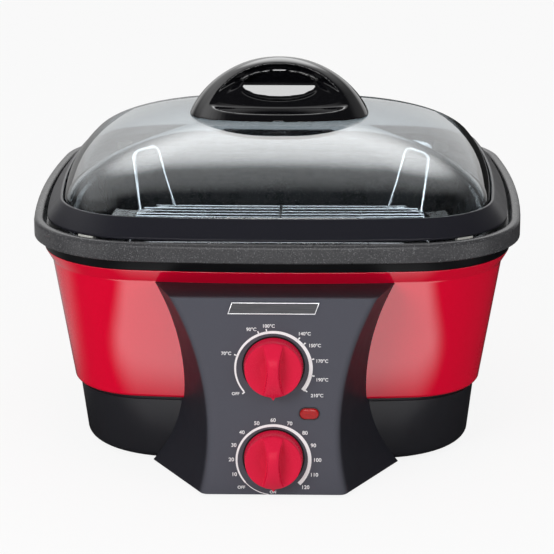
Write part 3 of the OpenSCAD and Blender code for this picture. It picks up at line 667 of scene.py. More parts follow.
@dataclass(frozen=True)
class PlanOutline:
    """Bowed square with rounded corners that the body, pot and lid share, in millimetres."""

    half: float = 185.0
    side_radius: float = 1000.0
    corner_radius: float = 85.0
    axis_y: float = 23.0
    side_steps: int = 10
    corner_steps: int = 16

    @property
    def offset(self) -> float:
        """Distance of a side arc's centre behind the middle."""
        return self.side_radius - self.half

    def corner(self, soft: float = 0.0) -> float:
        """Distance of a corner arc's centre from both centre planes, the corner rounder by soft."""
        reach = 2 * (self.side_radius - self.corner_radius - soft) ** 2 - self.offset**2
        return (math.sqrt(reach) - self.offset) / 2.0

    def lean(self, soft: float = 0.0) -> float:
        """Half angle of a side arc."""
        return math.atan2(self.corner(soft), self.corner(soft) + self.offset)

    def at(self, x: float, y: float, z: float) -> Vector:
        """Place a point given from the pot axis, in metres."""
        return Vector((x, y + self.axis_y, z)) * MM

    def ring(self, inset: float, soft: float = 0.0) -> list[Pair]:
        """Points of the outline.

        Args:
            inset: Distance inside the rim.
            soft: Extra radius of the corners.

        Returns:
            Points round the pot axis, the first one again at the end.
        """
        points: list[Pair] = []
        lean, corner = self.lean(soft), self.corner(soft)
        rest = math.pi / 2 - lean
        arcs = (
            (self.side_steps, -lean, lean, self.side_radius, (-self.offset, 0.0)),
            (self.corner_steps, lean, rest, self.corner_radius + soft, (corner, corner)),
        )
        for quarter in range(4):
            turn = Matrix.Rotation(quarter * math.pi / 2, 2)
            for steps, first, last, radius, (x, y) in arcs:
                r = radius - inset
                for a in (first + (last - first) * i / steps for i in range(steps)):
                    points.append(tuple(turn @ Vector((r * math.cos(a) + x, r * math.sin(a) + y))))
        return [*points, points[0]]

    def front(self, x: float, inset: float) -> float:
        """Distance of a front wall from the pot axis.

        Args:
            x: Distance from the centre plane.
            inset: Inset of the wall.

        Returns:
            The distance in millimetres.
        """
        return self.half - inset - self.side_radius + math.sqrt(self.side_radius**2 - x * x)

    def sweep(self, name: str, profile: Sequence[Pair], closed: bool = True) -> Obj:
        """Spin a profile along the outline's eight arcs.

        Args:
            name: Name of the new piece.
            profile: Points as (inset, height).
            closed: Whether the profile is a closed loop.

        Returns:
            The swept piece.
        """
        start = [
            self.at(
                (self.side_radius - d) * math.cos(self.lean()) - self.offset,
                -(self.side_radius - d) * math.sin(self.lean()),
                z,
            )
            for d, z in profile
        ]
        obj = trace(name, start, closed)
        for quarter in range(4):
            turn = Matrix.Rotation(quarter * math.pi / 2, 2)
            side = turn @ Vector((-self.offset, 0.0))
            corner = turn @ Vector((self.corner(), self.corner()))
            for centre, angle, steps in (
                (side, 2 * self.lean(), self.side_steps),
                (corner, math.pi / 2 - 2 * self.lean(), self.corner_steps),
            ):
                middle = self.at(centre.x, centre.y, 0.0)
                bpy.ops.mesh.spin(steps=steps, angle=-angle, center=middle, axis=(0.0, 0.0, 1.0))
        bpy.ops.mesh.select_all(action="SELECT")
        bpy.ops.mesh.remove_doubles(threshold=2e-5)
        mode("OBJECT")
        return obj

    def close(self, obj: Obj, *heights: float) -> None:
        """Close the open rings of a vessel with floors.

        Args:
            obj: Swept vessel.
            heights: Heights of its open rings.
        """
        for height in heights:
            pick(obj)
            mode("EDIT")
            bpy.ops.mesh.select_all(action="DESELECT")
            bpy.ops.mesh.select_non_manifold(extend=False)
            mode("OBJECT")
            for v in obj.data.vertices:
                v.select = v.select and abs(v.co.z - height * MM) < 1e-5
            for e in obj.data.edges:
                e.select = all(obj.data.vertices[i].select for i in e.vertices)
            mode("EDIT")
            bpy.ops.mesh.edge_face_add()
            mode("OBJECT")


@dataclass
class Housing:
    """Painted jacket, black base and collar."""

    plan: PlanOutline
    jacket: Profile = (
        (8.9, 156.15, 0.4), (14.5, 146.65, 4.0), (30.0, 56.75, 0.0), (34.4, 55.55, 0.0),
        (34.4, 54.15, 0.0), (29.0, 54.15, 0.8), (27.8, 55.75, 1.0), (13.1, 146.65, 5.0),
        (7.5, 156.15, 0.5),
    )
    collar: Profile = (
        (7.6, 156.3, 0.3), (6.3, 168.7, 0.8), (19.0, 168.7, 0.3), (19.0, 165.7, 0.0),
        (9.5, 165.7, 0.0), (10.5, 156.3, 0.0),
    )
    base_round: Triple = (42.0, 9.0, 6.0)
    base_wall: float = 3.2
    base_soft: float = 22.0
    base_rim: Profile = (
        (31.85, 50.4, 1.76), (31.9, 50.8, 1.57), (32.2, 51.0, 1.47), (33.0, 51.0, 1.47),
        (32.7, 53.8, 0.1), (32.9, 54.0, 0.0), (34.7, 54.0, 0.0),
    )
    slot_count: int = 7
    slot_pitch: float = 11.0
    slot_z: float = 4.6
    slot_size: Triple = (0.005, 0.06, 0.012)
    slot_round: float = 2.4
    gland_y: float = 150.7
    gland_z: float = 25.95
    gland_radius: float = 8.15
    wall_lean: float = 5.71

    def build(self) -> None:
        """Build and seat the body's shells."""
        jacket = tidy(self.plan.sweep("jacket_shell", fillet(self.jacket)), 40.0)
        seat(jacket, ENAMEL, Body.HOUSING, "jacket_red", "jacket")
        collar = tidy(self.plan.sweep("collar_shell", fillet(self.collar)))
        seat(collar, COLLAR_BLACK, Body.HOUSING, "collar_black", "collar_ring")
        seat(self._base(), BASE_BLACK, Body.HOUSING, "base_black", "base_tray")

    def _bottom(self, radius: float, angles: Sequence[float]) -> list[Triple]:
        """Round the lower edge of the base.

        Args:
            radius: Radius of the edge.
            angles: Angles of its points in degrees.

        Returns:
            Points as (inset, height, extra corner radius).
        """
        inset, z, _ = self.base_round
        bends = [(radius * math.cos(a), radius * math.sin(a)) for a in map(math.radians, angles)]
        return [(inset + across, z + up, self.base_soft) for across, up in bends]

    def _base(self) -> Obj:
        """Build the base with its air slots and its cord outlet.

        Returns:
            The finished base.
        """
        radius = self.base_round[2]
        outside = self._bottom(radius, [270.0 - 10.0 * k for k in range(10)])
        inside = self._bottom(radius - self.base_wall, [180.0 + 15.0 * k for k in range(7)])
        profile = [*outside, *self.base_rim, *inside]
        rings = [(self.plan.ring(inset, soft), z) for inset, z, soft in profile]
        base = block("base_shell", [[self.plan.at(x, y, z) for x, y in ring] for ring, z in rings])
        for i in range(self.slot_count):
            x = (i - (self.slot_count - 1) / 2.0) * self.slot_pitch
            deselect()
            at = self.plan.at(x, 0.0, self.slot_z)
            bpy.ops.mesh.primitive_cube_add(size=1.0, location=at, scale=self.slot_size)
            freeze()
            slot = named(bpy.context.object, "slot_tool")
            use(slot, "BEVEL", width=self.slot_round * MM, segments=4, limit_method="ANGLE")
            cut(base, slot)
        turn = Vector((math.pi / 2 - math.radians(self.wall_lean), 0.0, 0.0))
        at = self.plan.at(0.0, self.gland_y, self.gland_z)
        cut(base, rod_tool("outlet_tool", self.gland_radius * MM, THROUGH, at, turn))
        return tidy(base)


@dataclass
class Pod:
    """Control pod and fascia in one moulding, with printing, badge border, lens and black rings of
    painted shadow round the knobs.
    """

    plan: PlanOutline
    reach: float = 213.0
    floor: float = 2.0
    top: float = 148.0
    drop: float = 2.5
    face_waist: float = 45.7
    face_waist_z: float = 47.0
    face_radius: float = 210.0
    root_waist: float = 65.4
    root_waist_z: float = 66.0
    root_radius_up: float = 180.0
    root_radius_low: float = 100.0
    back: float = 129.0
    edge: float = 4.0
    wall: float = 2.8
    front_walls: float = 2.2
    widest: float = 150.0
    edge_soft: float = 0.6
    sink: float = 0.6
    cavity_sink: float = 14.0
    jacket_slope: tuple[Pair, ...] = ((54.15, 27.8), (146.65, 13.1), (156.15, 7.5))
    base_slope: tuple[Pair, ...] = ((9.0, 36.0), (54.0, 31.5))
    temp_z: float = 98.5
    timer_z: float = 30.0
    well: float = 22.1
    well_depth: float = 1.4
    bush: float = 5.2
    # Black ring in each knob's well, as (radius, out of the fascia): a painted shadow round the
    # knob.
    shade_ring_profile: tuple[Pair, ...] = (
        (8.0, -1.35), (21.9, -1.35), (22.0, -1.25), (22.0, -0.8), (21.9, -0.7), (8.0, -0.7),
        (8.0, -1.35),
    )
    temp_scale_z: float = 97.0
    timer_scale_z: float = 28.6
    lens: tuple[float, float, float, float] = (25.2, 63.5, 13.4, 8.0)
    lens_steps: tuple[Pair, ...] = (
        (0.0, -6.0), (0.0, 0.3), (-0.15, 0.55), (-0.5, 0.78), (-1.1, 0.95), (-2.0, 1.08),
        (-3.0, 1.15), (-3.95, 1.17),
    )
    badge: Triple = (141.0, 61.0, 8.5)
    badge_slant: float = 0.35
    badge_edge: tuple[Pair, ...] = (
        (0.0, 0.3), (0.0, 0.9), (0.12, 1.0), (0.5, 1.0), (0.62, 0.9), (0.62, 0.3), (0.0, 0.3),
    )
    ink_out: float = 0.05
    ink: float = 0.08

    def jacket_in(self, z: float) -> float:
        """Inset of the jacket's slope at a height, carried on down past the base."""
        low, fold, high = self.jacket_slope
        return along(fold, high, z) if z >= fold[0] else along(low, fold, z)

    def body_in(self, z: float) -> float:
        """Inset of the jacket or base behind the pod at a height."""
        if z >= self.jacket_slope[0][0]:
            return self.jacket_in(z)
        return along(*self.base_slope, max(z, self.base_slope[0][0]))

    def on_face(self, x: float, z: float, out: float) -> Vector:
        """Place a point given across, up and out of the fascia."""
        return self.plan.at(x, -self.reach - out, z)

    def face_w(self, z: float) -> float:
        """Half width of the front face at a height."""
        r = self.face_radius
        return self.face_waist + r - math.sqrt(r * r - (z - self.face_waist_z) ** 2)

    def root_w(self, z: float) -> float:
        """Half width of the pod at a height where it meets the body."""
        r = self.root_radius_up if z > self.root_waist_z else self.root_radius_low
        return self.root_waist + r - math.sqrt(r * r - (z - self.root_waist_z) ** 2)

    def half_w(self, z: float, y: float) -> float:
        """Half width at a height and at a distance from the pot axis."""
        front = (self.reach, self.face_w(z))
        root = (self.plan.half - self.jacket_in(z), self.root_w(z))
        return along(front, root, y)

    def section(self, share: float, inset: float, sink: float) -> list[Vector]:
        """Closed level section: round the front from root to root and back along the body.

        Args:
            share: Share of the pod's height.
            inset: Distance inside the outer faces.
            sink: Distance behind the body's surface at which it ends.

        Returns:
            The points in metres.
        """
        low, high = self.floor + inset, self.top - inset
        reach = self.reach - self.front_walls * inset
        front_z, back_z = low + (high - low) * share, low + (high - self.drop - low) * share
        corner = Vector((self.half_w(front_z, reach) - inset, -reach, front_z))
        rear = Vector((self.half_w(back_z, self.back) - inset, -self.back, back_z))
        u = 0.4  # share of the side from front to rear, moved on until it meets the body
        for _ in range(14):
            p = corner.lerp(rear, u)
            wall = self.plan.front(min(p.x, self.widest), self.body_in(p.z))
            u += (sink - p.y - wall) / (reach - self.back)
        root = corner.lerp(rear, min(1.0, u))
        edge = max(0.5, self.edge - inset)
        start, end = corner + (root - corner).normalized() * edge, corner - Vector((edge, 0.0, 0.0))
        half = [root.lerp(start, k / 8) for k in range(8)]
        half += bend(start, corner, end, 8)
        half += [Vector((end.x * (1 - k / 10), end.y, end.z)) for k in range(1, 11)]
        loop = [Vector((-p.x, p.y, p.z)) for p in half] + list(reversed(half[:-1]))
        for k in range(1, 12):
            x = root.x * (1 - k / 6)
            loop.append(Vector((x, sink - self.plan.front(x, self.body_in(root.z)), root.z)))
        return [self.plan.at(*p) for p in [*loop, loop[0]]]

    def build(self) -> None:
        """Build and seat the pod, its printing, badge border, lens and painted shadow rings round
        the knobs.
        """
        seat(self._shell(), POD_GREY, Body.HOUSING, "fascia_grey", "control_pod", "pod_fascia")
        self._printing()
        self._border()
        self._lens()
        self._shade_rings()

    def _shade_rings(self) -> None:
        """Build the black rings in the wells behind the knobs, a painted shadow round each knob."""
        for name, z in (("upper_knob_shade_ring", self.temp_z), ("lower_knob_shade_ring", self.timer_z)):
            rows = [
                [self.on_face(r * math.cos(a), z + r * math.sin(a), out) for a in turns(96, 0.0)]
                for r, out in self.shade_ring_profile
            ]
            seat(tidy(loft(name, rows), 40.0), COLLAR_BLACK, Body.HOUSING, "pod_black")

    def _shell(self) -> Obj:
        """Build the hollow moulding with the wells behind the knobs.

        Returns:
            The finished moulding.
        """
        rows = [self.section(k / 60, 0.0, self.sink) for k in range(61)]
        shell = block("pod_moulding", rows, 30.0)
        width, sharp = self.edge_soft * MM, math.radians(55.0)
        use(shell, "BEVEL", width=width, segments=2, limit_method="ANGLE", angle_limit=sharp)
        rows = [self.section(k / 24, self.wall, self.cavity_sink) for k in range(25)]
        cut(shell, block("cavity_tool", rows))
        turn = Vector((math.pi / 2, 0.0, 0.0))
        for z in (self.temp_z, self.timer_z):
            at = self.on_face(0.0, z, 0.0)
            cut(shell, rod_tool("well_tool", self.well * MM, 2 * self.well_depth * MM, at, turn))
            cut(shell, rod_tool("bush_tool", self.bush * MM, THROUGH, at, turn))
        cut(shell, block("lens_tool", [self._slot(0.1, out) for out in (-12.0, 4.0)]))
        return tidy(shell, 30.0)

    def _slot(self, grow: float, out: float) -> list[Vector]:
        """Outline of the pilot lens.

        Args:
            grow: Distance outside its own outline.
            out: Distance in front of the fascia.

        Returns:
            The closed outline in metres.
        """
        x, z, width, height = self.lens
        run, radius = (width - height) / 2.0, max(0.05, height / 2.0 + grow)
        points = []
        for a in turns(48):
            across = x + math.copysign(run, math.cos(a)) + radius * math.cos(a)
            points.append(self.on_face(across, z + radius * math.sin(a), out))
        return points

    def _arc(self, centre: float, outer: float, span: Pair, width: Pair) -> Obj:
        """Print an arc that tapers on its inner side.

        Args:
            centre: Height of its centre.
            outer: Outer radius.
            span: First and last angle clockwise from the top, in degrees.
            width: First and last width.

        Returns:
            The arc as a flat mesh.
        """
        rows = []
        for k in range(73):
            a = math.radians(span[0] + (span[1] - span[0]) * k / 72)
            radii = (outer - width[0] - (width[1] - width[0]) * k / 72, outer)
            ends = [(r * math.sin(a), centre + r * math.cos(a)) for r in radii]
            rows.append([self.on_face(x, z, self.ink_out) for x, z in ends])
        return loft("arc", rows)

    def _word(self, text: str, x: float, z: float, size: float) -> Obj:
        """Set a number or word upright on the fascia.

        Args:
            text: The number or word.
            x: Distance of its middle from the centre plane.
            z: Height of its middle.
            size: Size of the type.

        Returns:
            The word as a flat mesh.
        """
        deselect()
        at = self.on_face(x, z, self.ink_out)
        bpy.ops.object.text_add(location=at, rotation=(math.pi / 2, 0.0, 0.0))
        word = bpy.context.object
        word.data.body = text
        word.data.size = size * MM
        word.data.align_x, word.data.align_y = "CENTER", "CENTER"
        word.data.offset = self.ink * MM
        bpy.ops.object.convert(target="MESH")
        freeze()
        return bpy.context.object

    def _printing(self) -> None:
        """Print both scales on the fascia."""
        up, low = self.temp_scale_z, self.timer_scale_z
        temps = {
            70: (-33.0, 107.7, -70.0), 90: (-15.4, 125.4, -22.0), 100: (-3.4, 127.9, -10.0),
            140: (21.6, 122.4, 39.0), 150: (28.8, 113.8, 50.0), 170: (33.9, 102.4, 76.0),
            190: (34.0, 88.6, 101.0), 210: (30.6, 76.9, 126.0),
        }
        minutes = (
            (-27.9, 17.4), (-29.9, 28.6), (-28.1, 39.5), (-22.3, 49.1), (-11.8, 56.0), (-0.3, 58.4),
            (11.4, 56.0), (22.2, 49.0), (28.2, 39.6), (31.0, 28.6), (28.8, 17.4), (22.6, 7.9),
        )
        arcs = [
            (up, 27.5, (-130.0, 128.0), (1.1, 2.8)),
            (low, 26.9, (-131.0, 135.0), (1.1, 2.8)),
            (low, 26.6, (-131.0, -172.0), (0.5, 0.5)),
            (up, 29.0, (-132.0, -130.0), (2.2, 2.2)),
            *((up, 29.3, (angle - 0.9, angle + 0.9), (2.4, 2.4)) for _, _, angle in temps.values()),
        ]
        words = [
            ("OFF", -26.6, 78.0, 3.1), ("OFF", -22.9, 7.6, 3.1), ("ON", -0.4, 4.1, 2.9),
            *((f"{degrees}\u00b0C", x, z, 3.4) for degrees, (x, z, _) in temps.items()),
            *((str(10 * (i + 1)), x, z, 3.9) for i, (x, z) in enumerate(minutes)),
        ]
        marks = [self._arc(*arc) for arc in arcs] + [self._word(*word) for word in words]
        ink = joined(marks, "scale_printing")
        use(ink, "SOLIDIFY", thickness=self.ink * MM, offset=0.0)
        seat(ink, INK, Body.HOUSING, "switch_white")

    def _border(self) -> None:
        """Build the thin bright border of the bare badge plate."""
        middle, width, height = self.badge
        rows = []
        for inset, out in self.badge_edge:
            row = []
            for sx, sz in ((-1, -1), (1, -1), (1, 1), (-1, 1), (-1, -1)):
                z = sz * (height / 2.0 - inset)
                x = sx * (width / 2.0 - inset) + self.badge_slant * z
                row.append(self.on_face(x, middle + z, out))
            rows.append(row)
        seat(tidy(loft("badge_border", rows), 40.0), BORDER, Body.HOUSING, "badge_silver")

    def _lens(self) -> None:
        """Build the domed pilot lens and its thin bezel."""
        lens = block("pilot_lens", [self._slot(grow, out) for grow, out in self.lens_steps], 40.0)
        seat(lens, LENS_RED, Body.HOUSING, "lens_red", "lamp_lens")
        ring = self._slot(0.45, 0.1)[:-1]
        seat(tube("lens_bezel", ring, 0.0008, closed=True), POD_BLACK, Body.HOUSING, "pod_black")


@dataclass
class Knobs:
    """Two turning knobs of one model, with a dished face and a waisted grip."""

    pod: Pod
    radius: float = 19.8
    crown: float = 29.4
    top: float = 18.0
    waist: float = 4.2
    end: float = 8.4
    edge_fall: float = 1.2
    foot: float = 2.0
    dish: float = 8.2
    skirt: Profile = (
        (0.0, -0.6, 0.0), (19.9, -0.6, 0.0), (21.0, -0.6, 0.4), (19.9, 10.1, 0.9), (18.4, 9.9, 0.8),
        (9.0, 8.3, 2.0), (0.0, 8.1, 0.0),
    )
    tip: tuple[Pair, ...] = ((-3.0, -18.0), (3.0, -18.0), (0.0, -22.6), (-3.0, -18.0))
    tip_top: float = 9.0
    voxel: float = 0.4

    def build(self) -> None:
        """Model one knob, copy it for the other dial and seat both."""
        first = self._model()
        second = first.copy()
        second.data = first.data.copy()
        bpy.context.scene.collection.objects.link(second)
        pick(named(second, "lower_knob"))
        bpy.ops.transform.translate(value=(0.0, 0.0, (self.pod.timer_z - self.pod.temp_z) * MM))
        freeze()
        seat(first, KNOB_RED, Body.TEMP_DIAL, "knob_red", "temp_knob")
        seat(second, KNOB_RED, Body.TIMER_DIAL, "knob_red", "timer_knob")

    def _model(self) -> Obj:
        """Model the upper knob.

        Returns:
            The finished knob.
        """
        knob = trace("upper_knob", [self._place(r, 0.0, h) for r, h in fillet(self.skirt, 4)])
        middle = self.pod.plan.at(0.0, 0.0, self.pod.temp_z)
        bpy.ops.mesh.spin(steps=96, angle=2 * math.pi, center=middle, axis=(0.0, 1.0, 0.0))
        mode("OBJECT")
        tidy(knob)
        cut(knob, self._grip(), "UNION")
        ends = (self.foot, self.tip_top)
        rows = [[self._place(x, up, out) for x, up in self.tip] for out in ends]
        cut(knob, block("tip_tool", rows), "UNION")
        use(knob, "REMESH", mode="VOXEL", voxel_size=self.voxel * MM)
        use(knob, "SMOOTH", factor=0.5, iterations=5)
        return tidy(knob, 60.0)

    def _place(self, x: float, up: float, out: float) -> Vector:
        """Place a point given from the upper knob's axis and the fascia."""
        return self.pod.on_face(x, self.pod.temp_z + up, out)

    def _grip(self) -> Obj:
        """Build the waisted ridge whose ends fall away to the rim.

        Returns:
            The ridge as a closed shape.
        """
        rows = []
        for k in range(41):
            up = self.radius * (k / 20 - 1)
            wide = self.waist + (self.end - self.waist) * (up / self.radius) ** 2
            wide = min(wide, math.sqrt(max(0.04, (self.radius + 0.1) ** 2 - up * up)))
            tall = self.top - self.crown + math.sqrt(self.crown**2 - up * up)
            ring = []
            for i in range(25):
                s = i / 12 - 1.0
                crown = max(self.dish, tall - self.edge_fall * abs(s) ** 5)
                ring.append(self._place(wide * s, up, crown if 0 < i < 24 else self.dish))
            ring += [self._place(wide * (1.0 - i / 12), up, self.foot) for i in range(25)]
            rows.append([*ring, ring[0]])
        return block("ridge_tool", rows)


@dataclass
class Pot:
    """Lift-out cooking pot with a rolled rim."""

    plan: PlanOutline
    profile: Profile = (
        (53.8, 65.4, 0.0), (37.0, 65.4, 16.0), (24.0, 168.9, 0.6), (3.0, 168.9, 0.0),
        (3.0, 164.5, 0.6), (0.0, 164.5, 1.0), (0.0, 178.1, 3.2), (7.0, 178.1, 3.0),
        (8.6, 171.7, 0.8), (22.0, 171.7, 2.0), (26.8, 167.9, 3.0), (39.8, 68.2, 14.0),
        (53.8, 68.2, 0.0),
    )

    def build(self) -> None:
        """Build and seat the pot."""
        pot = self.plan.sweep("pot_vessel", fillet(self.profile, 6), closed=False)
        self.plan.close(pot, self.profile[0][1], self.profile[-1][1])
        seat(tidy(pot), NONSTICK, Body.POT, "pot_nonstick", "cooking_pot")


@dataclass
class Rack:
    """Wire rack with its legs and two upright loops."""

    plan: PlanOutline
    half_x: float = 117.0
    half_y: float = 100.0
    corner: float = 40.0
    frame_z: float = 134.2
    grid_z: float = 137.575
    wire: float = 4.0
    thin: float = 2.6
    shown: float = 1.8
    gap: float = 0.15
    count: int = 16
    pitch: float = 12.0
    leg_z: float = 70.4
    leg_in: float = 10.0
    leg_bend: float = 12.0
    loop_wire: float = 3.6
    loop_h: float = 55.0
    loop_lean: float = 15.0
    loop_bend: float = 8.0
    loop_taper: float = 0.15
    loop_arc: Pair = (15.0, 72.0)

    def half(self, y: float) -> float:
        """Half length of the rack at a distance from its middle."""
        over = max(0.0, abs(y) - self.half_y + self.corner)
        return self.half_x - self.corner + math.sqrt(self.corner**2 - over * over)

    def build(self) -> None:
        """Build and seat the rack's wires."""
        self._wires("rack_frame_wire", "rack_frame", self._frame())
        self._wires("rack_long_wires", "rack_grid", *(self._long(i) for i in range(self.count)))
        self._wires("rack_cross_wire", "rack_cross", self._cross())
        self._wires("rack_leg_wires", "rack_legs", self._leg(-1), self._leg(1))
        self._wires("rack_loop_left", "rack_handle_left", self._loop(-1))
        self._wires("rack_loop_right", "rack_handle_right", self._loop(1))

    def _wires(self, name: str, node: str, *wires: Obj) -> None:
        """Join wires into one piece and seat it.

        Args:
            name: Name of the piece.
            node: Solid that it stands for.
            wires: Wires to join.
        """
        seat(joined(wires, name), CHROME, Body.RACK, "wire_chrome", node)

    def _frame(self) -> Obj:
        """Build the frame wire."""
        x, y, r = self.half_x - self.corner, self.half_y - self.corner, self.corner
        points = []
        for cx, cy, first in ((x, y, 0), (-x, y, 90), (-x, -y, 180), (x, -y, 270)):
            for k in range(13):
                a = math.radians(first + 90 * k / 12)
                at = (cx + r * math.cos(a), cy + r * math.sin(a), self.frame_z)
                points.append(self.plan.at(*at))
        return tube("frame", points, self.wire * MM, closed=True)

    def _long(self, i: int) -> Obj:
        """Build one long grid wire."""
        y = (i - (self.count - 1) / 2.0) * self.pitch
        ends = [self.plan.at(s * self.half(y), y, self.grid_z) for s in (-1, 1)]
        return tube(f"long_{i}", ends, self.shown * MM)

    def _cross(self) -> Obj:
        """Build the cross wire on top of the long ones."""
        z = self.grid_z + self.thin + self.gap / 2.0
        y = self.half_y - self.wire / 2.0 - self.gap
        return tube("cross", [self.plan.at(0.0, -y, z), self.plan.at(0.0, y, z)], self.thin * MM)

    def _leg(self, side: int) -> Obj:
        """Build one leg wire that runs under the rack."""
        x, far = side * (self.half_x - self.corner - self.leg_in), self.half_y
        top, low, soft = self.frame_z - self.wire / 2.0 - self.gap, self.leg_z, self.leg_bend
        path = fillet([(-far, top, 0), (-far, low, soft), (far, low, soft), (far, top, 0)], 8)
        return tube("leg", [self.plan.at(x, y, z) for y, z in path], self.wire * MM)

    def _loop(self, side: int) -> Obj:
        """Build one upright loop over a back corner.

        Args:
            side: -1 for left and 1 for right.

        Returns:
            The loop.
        """
        first, last = (math.radians(a) for a in self.loop_arc)
        span = 2 * self.corner * math.sin((last - first) / 2)
        lean = math.asin(self.loop_lean / self.loop_h)
        foot = self.wire / 2 + self.gap + self.loop_wire / 2 * math.sin(lean)
        near, far = self.loop_taper * span, (1 - self.loop_taper) * span
        tall, soft = self.loop_h, self.loop_bend
        flat = fillet([(0, 0, 0), (near, tall, soft), (far, tall, soft), (span, 0, 0)], 8)
        round_z = Matrix.Rotation((first + last) / 2 + math.pi / 2, 3, "Z")
        turn = round_z @ Matrix.Rotation(math.pi / 2 + lean, 3, "X")
        origin = Vector((
            self.half_x - self.corner + self.corner * math.cos(first),
            self.half_y - self.corner + self.corner * math.sin(first),
            self.frame_z + foot,
        ))
        points = [origin + turn @ Vector((x, y, 0.0)) for x, y in flat]
        path = [self.plan.at(side * p.x, p.y, p.z) for p in points]
        return tube("loop", path, self.loop_wire * MM)


@dataclass
class Lid:
    """Lift-off lid: sloping frame, glass dome and scooped grip."""

    plan: PlanOutline
    rim: Profile = (
        (10.0, 178.05, 0.5), (10.0, 179.65, 0.7), (19.9, 192.05, 1.2), (21.7, 192.05, 0.5),
        (21.7, 186.4, 0.0), (26.7, 186.4, 0.0), (26.7, 184.55, 0.0), (19.7, 184.55, 0.0),
        (12.4, 178.05, 0.0),
    )
    glass_in: float = 22.0
    glass_z: float = 186.55
    glass_t: float = 4.0
    rise: float = 52.6
    dome_power: float = 2.4
    dome_steps: int = 28
    grip_z: float = 239.3
    grip_h: float = 39.4
    grip_arch: float = 78.0
    grip_y: float = 48.0
    grip_gap: float = 0.15
    grip_root: float = -0.12
    voxel: float = 0.75
    ridge: float = 12.0
    crest: float = 0.2
    flare: float = 1.15
    square: float = 0.8
    mouth_low: float = 4.5
    mouth_sag: float = 1.2
    mouth_top: float = 0.92
    scoop_x: float = 58.0
    hole_x: float = 29.0
    hole_z: float = 9.8
    scoop_depth: float = 13.0
    web: float = 3.0
    brow: float = 6.0
    sill: float = 15.0
    sill_up: float = 2.2
    sill_slope: float = 0.23
    pocket_fall: float = 4.5
    pocket_lean: float = 0.2
    steps: tuple[Pair, ...] = (
        (0.0, -0.92), (0.0, 0.0), (0.05, 0.5), (0.11, 0.88), (0.2, 1.1), (0.4, 1.15), (0.6, 1.12),
        (0.8, 1.07), (0.94, 1.05),
    )

    def build(self) -> None:
        """Build and seat the lid's pieces."""
        rim = tidy(self.plan.sweep("lid_rim", fillet(self.rim)))
        seat(rim, LID_BLACK, Body.LID, "lid_grey", "lid_frame")
        rows = [*reversed(self._bowl(0.0, 0.0)), *self._bowl(self.glass_t, -self.glass_t)]
        dome = tidy(loft("lid_dome", [*rows, rows[0]]), 60.0)
        seat(dome, SMOKED, Body.LID, "glass_clear", "lid_glass")
        seat(self._grip(), GRIP_BLACK, Body.LID, "grip_black", "lid_grip")

    def _bowl(self, inset: float, rise: float) -> list[list[Vector]]:
        """Rows of the dome from its top to its edge, round at the top and square at the edge.

        Args:
            inset: Distance inside the glass edge.
            rise: Change of the dome's rise.

        Returns:
            Rows of points in metres.
        """
        rows: list[list[Vector]] = []
        edge = self.plan.ring(self.glass_in + inset)
        radius = self.plan.half - self.glass_in - inset
        for k in range(self.dome_steps + 1):
            s = math.sin(math.pi / 2 * k / self.dome_steps)
            z = self.glass_z + (self.rise + rise) * math.sqrt(max(0.0, 1 - s**self.dome_power))
            row = []
            for x, y in edge:
                f = s * s + s * (1 - s) * radius / math.hypot(x, y)
                row.append(self.plan.at(x * f, y * f, z))
            rows.append(row)
        return rows

    def _deep(self, t: float) -> float:
        """Half depth of the grip at a share of its height, with a rounded crest."""
        crest = math.sqrt(max(0.0, 1 - max(0.0, (t - 1) / self.crest + 1) ** 2))
        flank = (self.grip_y - self.ridge) * max(0.0, 1 - t) ** self.flare
        return max(0.4, self.ridge * crest + flank)

    def _face(self, z: float) -> float:
        """Half depth of the grip at a height."""
        return self._deep(min(1.0, max(0.0, (z - self.grip_z) / self.grip_h)))

    def _wide(self, t: float) -> float:
        """Half width of the grip at a share of its height."""
        r, fall = self.grip_arch, self.grip_h * (1 - t)
        return math.sqrt(max(1.0, r**2 - (r - fall) ** 2))

    @staticmethod
    def _power(v: float, e: float) -> float:
        """Signed power."""
        return math.copysign(abs(v) ** e, v)

    def _grip(self) -> Obj:
        """Build the grip, cut to the dome, with a finger scoop on each side.

        Returns:
            The finished grip.
        """
        rows = []
        for t in (self.grip_root, *(math.sin(math.pi / 2 * k / 40) for k in range(41))):
            row = []
            for a in turns(96):
                x = self._wide(t) * self._power(math.cos(a), self.square)
                y = self._deep(t) * self._power(math.sin(a), self.square)
                row.append(self.plan.at(x, y, self.grip_z + self.grip_h * t))
            rows.append(row)
        grip = block("lid_handle", rows)
        for side in (-1, 1):
            cut(grip, self._scoop(side))
        cut(grip, tidy(loft("dome_tool", self._bowl(0.0, self.grip_gap), caps=(-1,))))
        use(grip, "REMESH", mode="VOXEL", voxel_size=self.voxel * MM)
        use(grip, "SMOOTH", factor=0.5, iterations=3)
        return tidy(grip, 60.0)

    def _scoop_point(self, a: float, w: float) -> Pair:
        """Point of a scoop's outline, from its mouth (w = 0) to the finger hole (w = 1)."""
        up, tall = math.sin(a), self.grip_h * self.mouth_top - self.mouth_low
        mx = self.scoop_x * self._power(math.cos(a), 0.9)
        mz = self.grip_z + self.mouth_low + (tall * up**1.1 if up > 0 else self.mouth_sag * up)
        hx = self.hole_x * math.cos(a)
        hz = self.grip_z + 0.5 * self.grip_h + self.hole_z * up
        return mx + (hx - mx) * w, mz + (hz - mz) * w

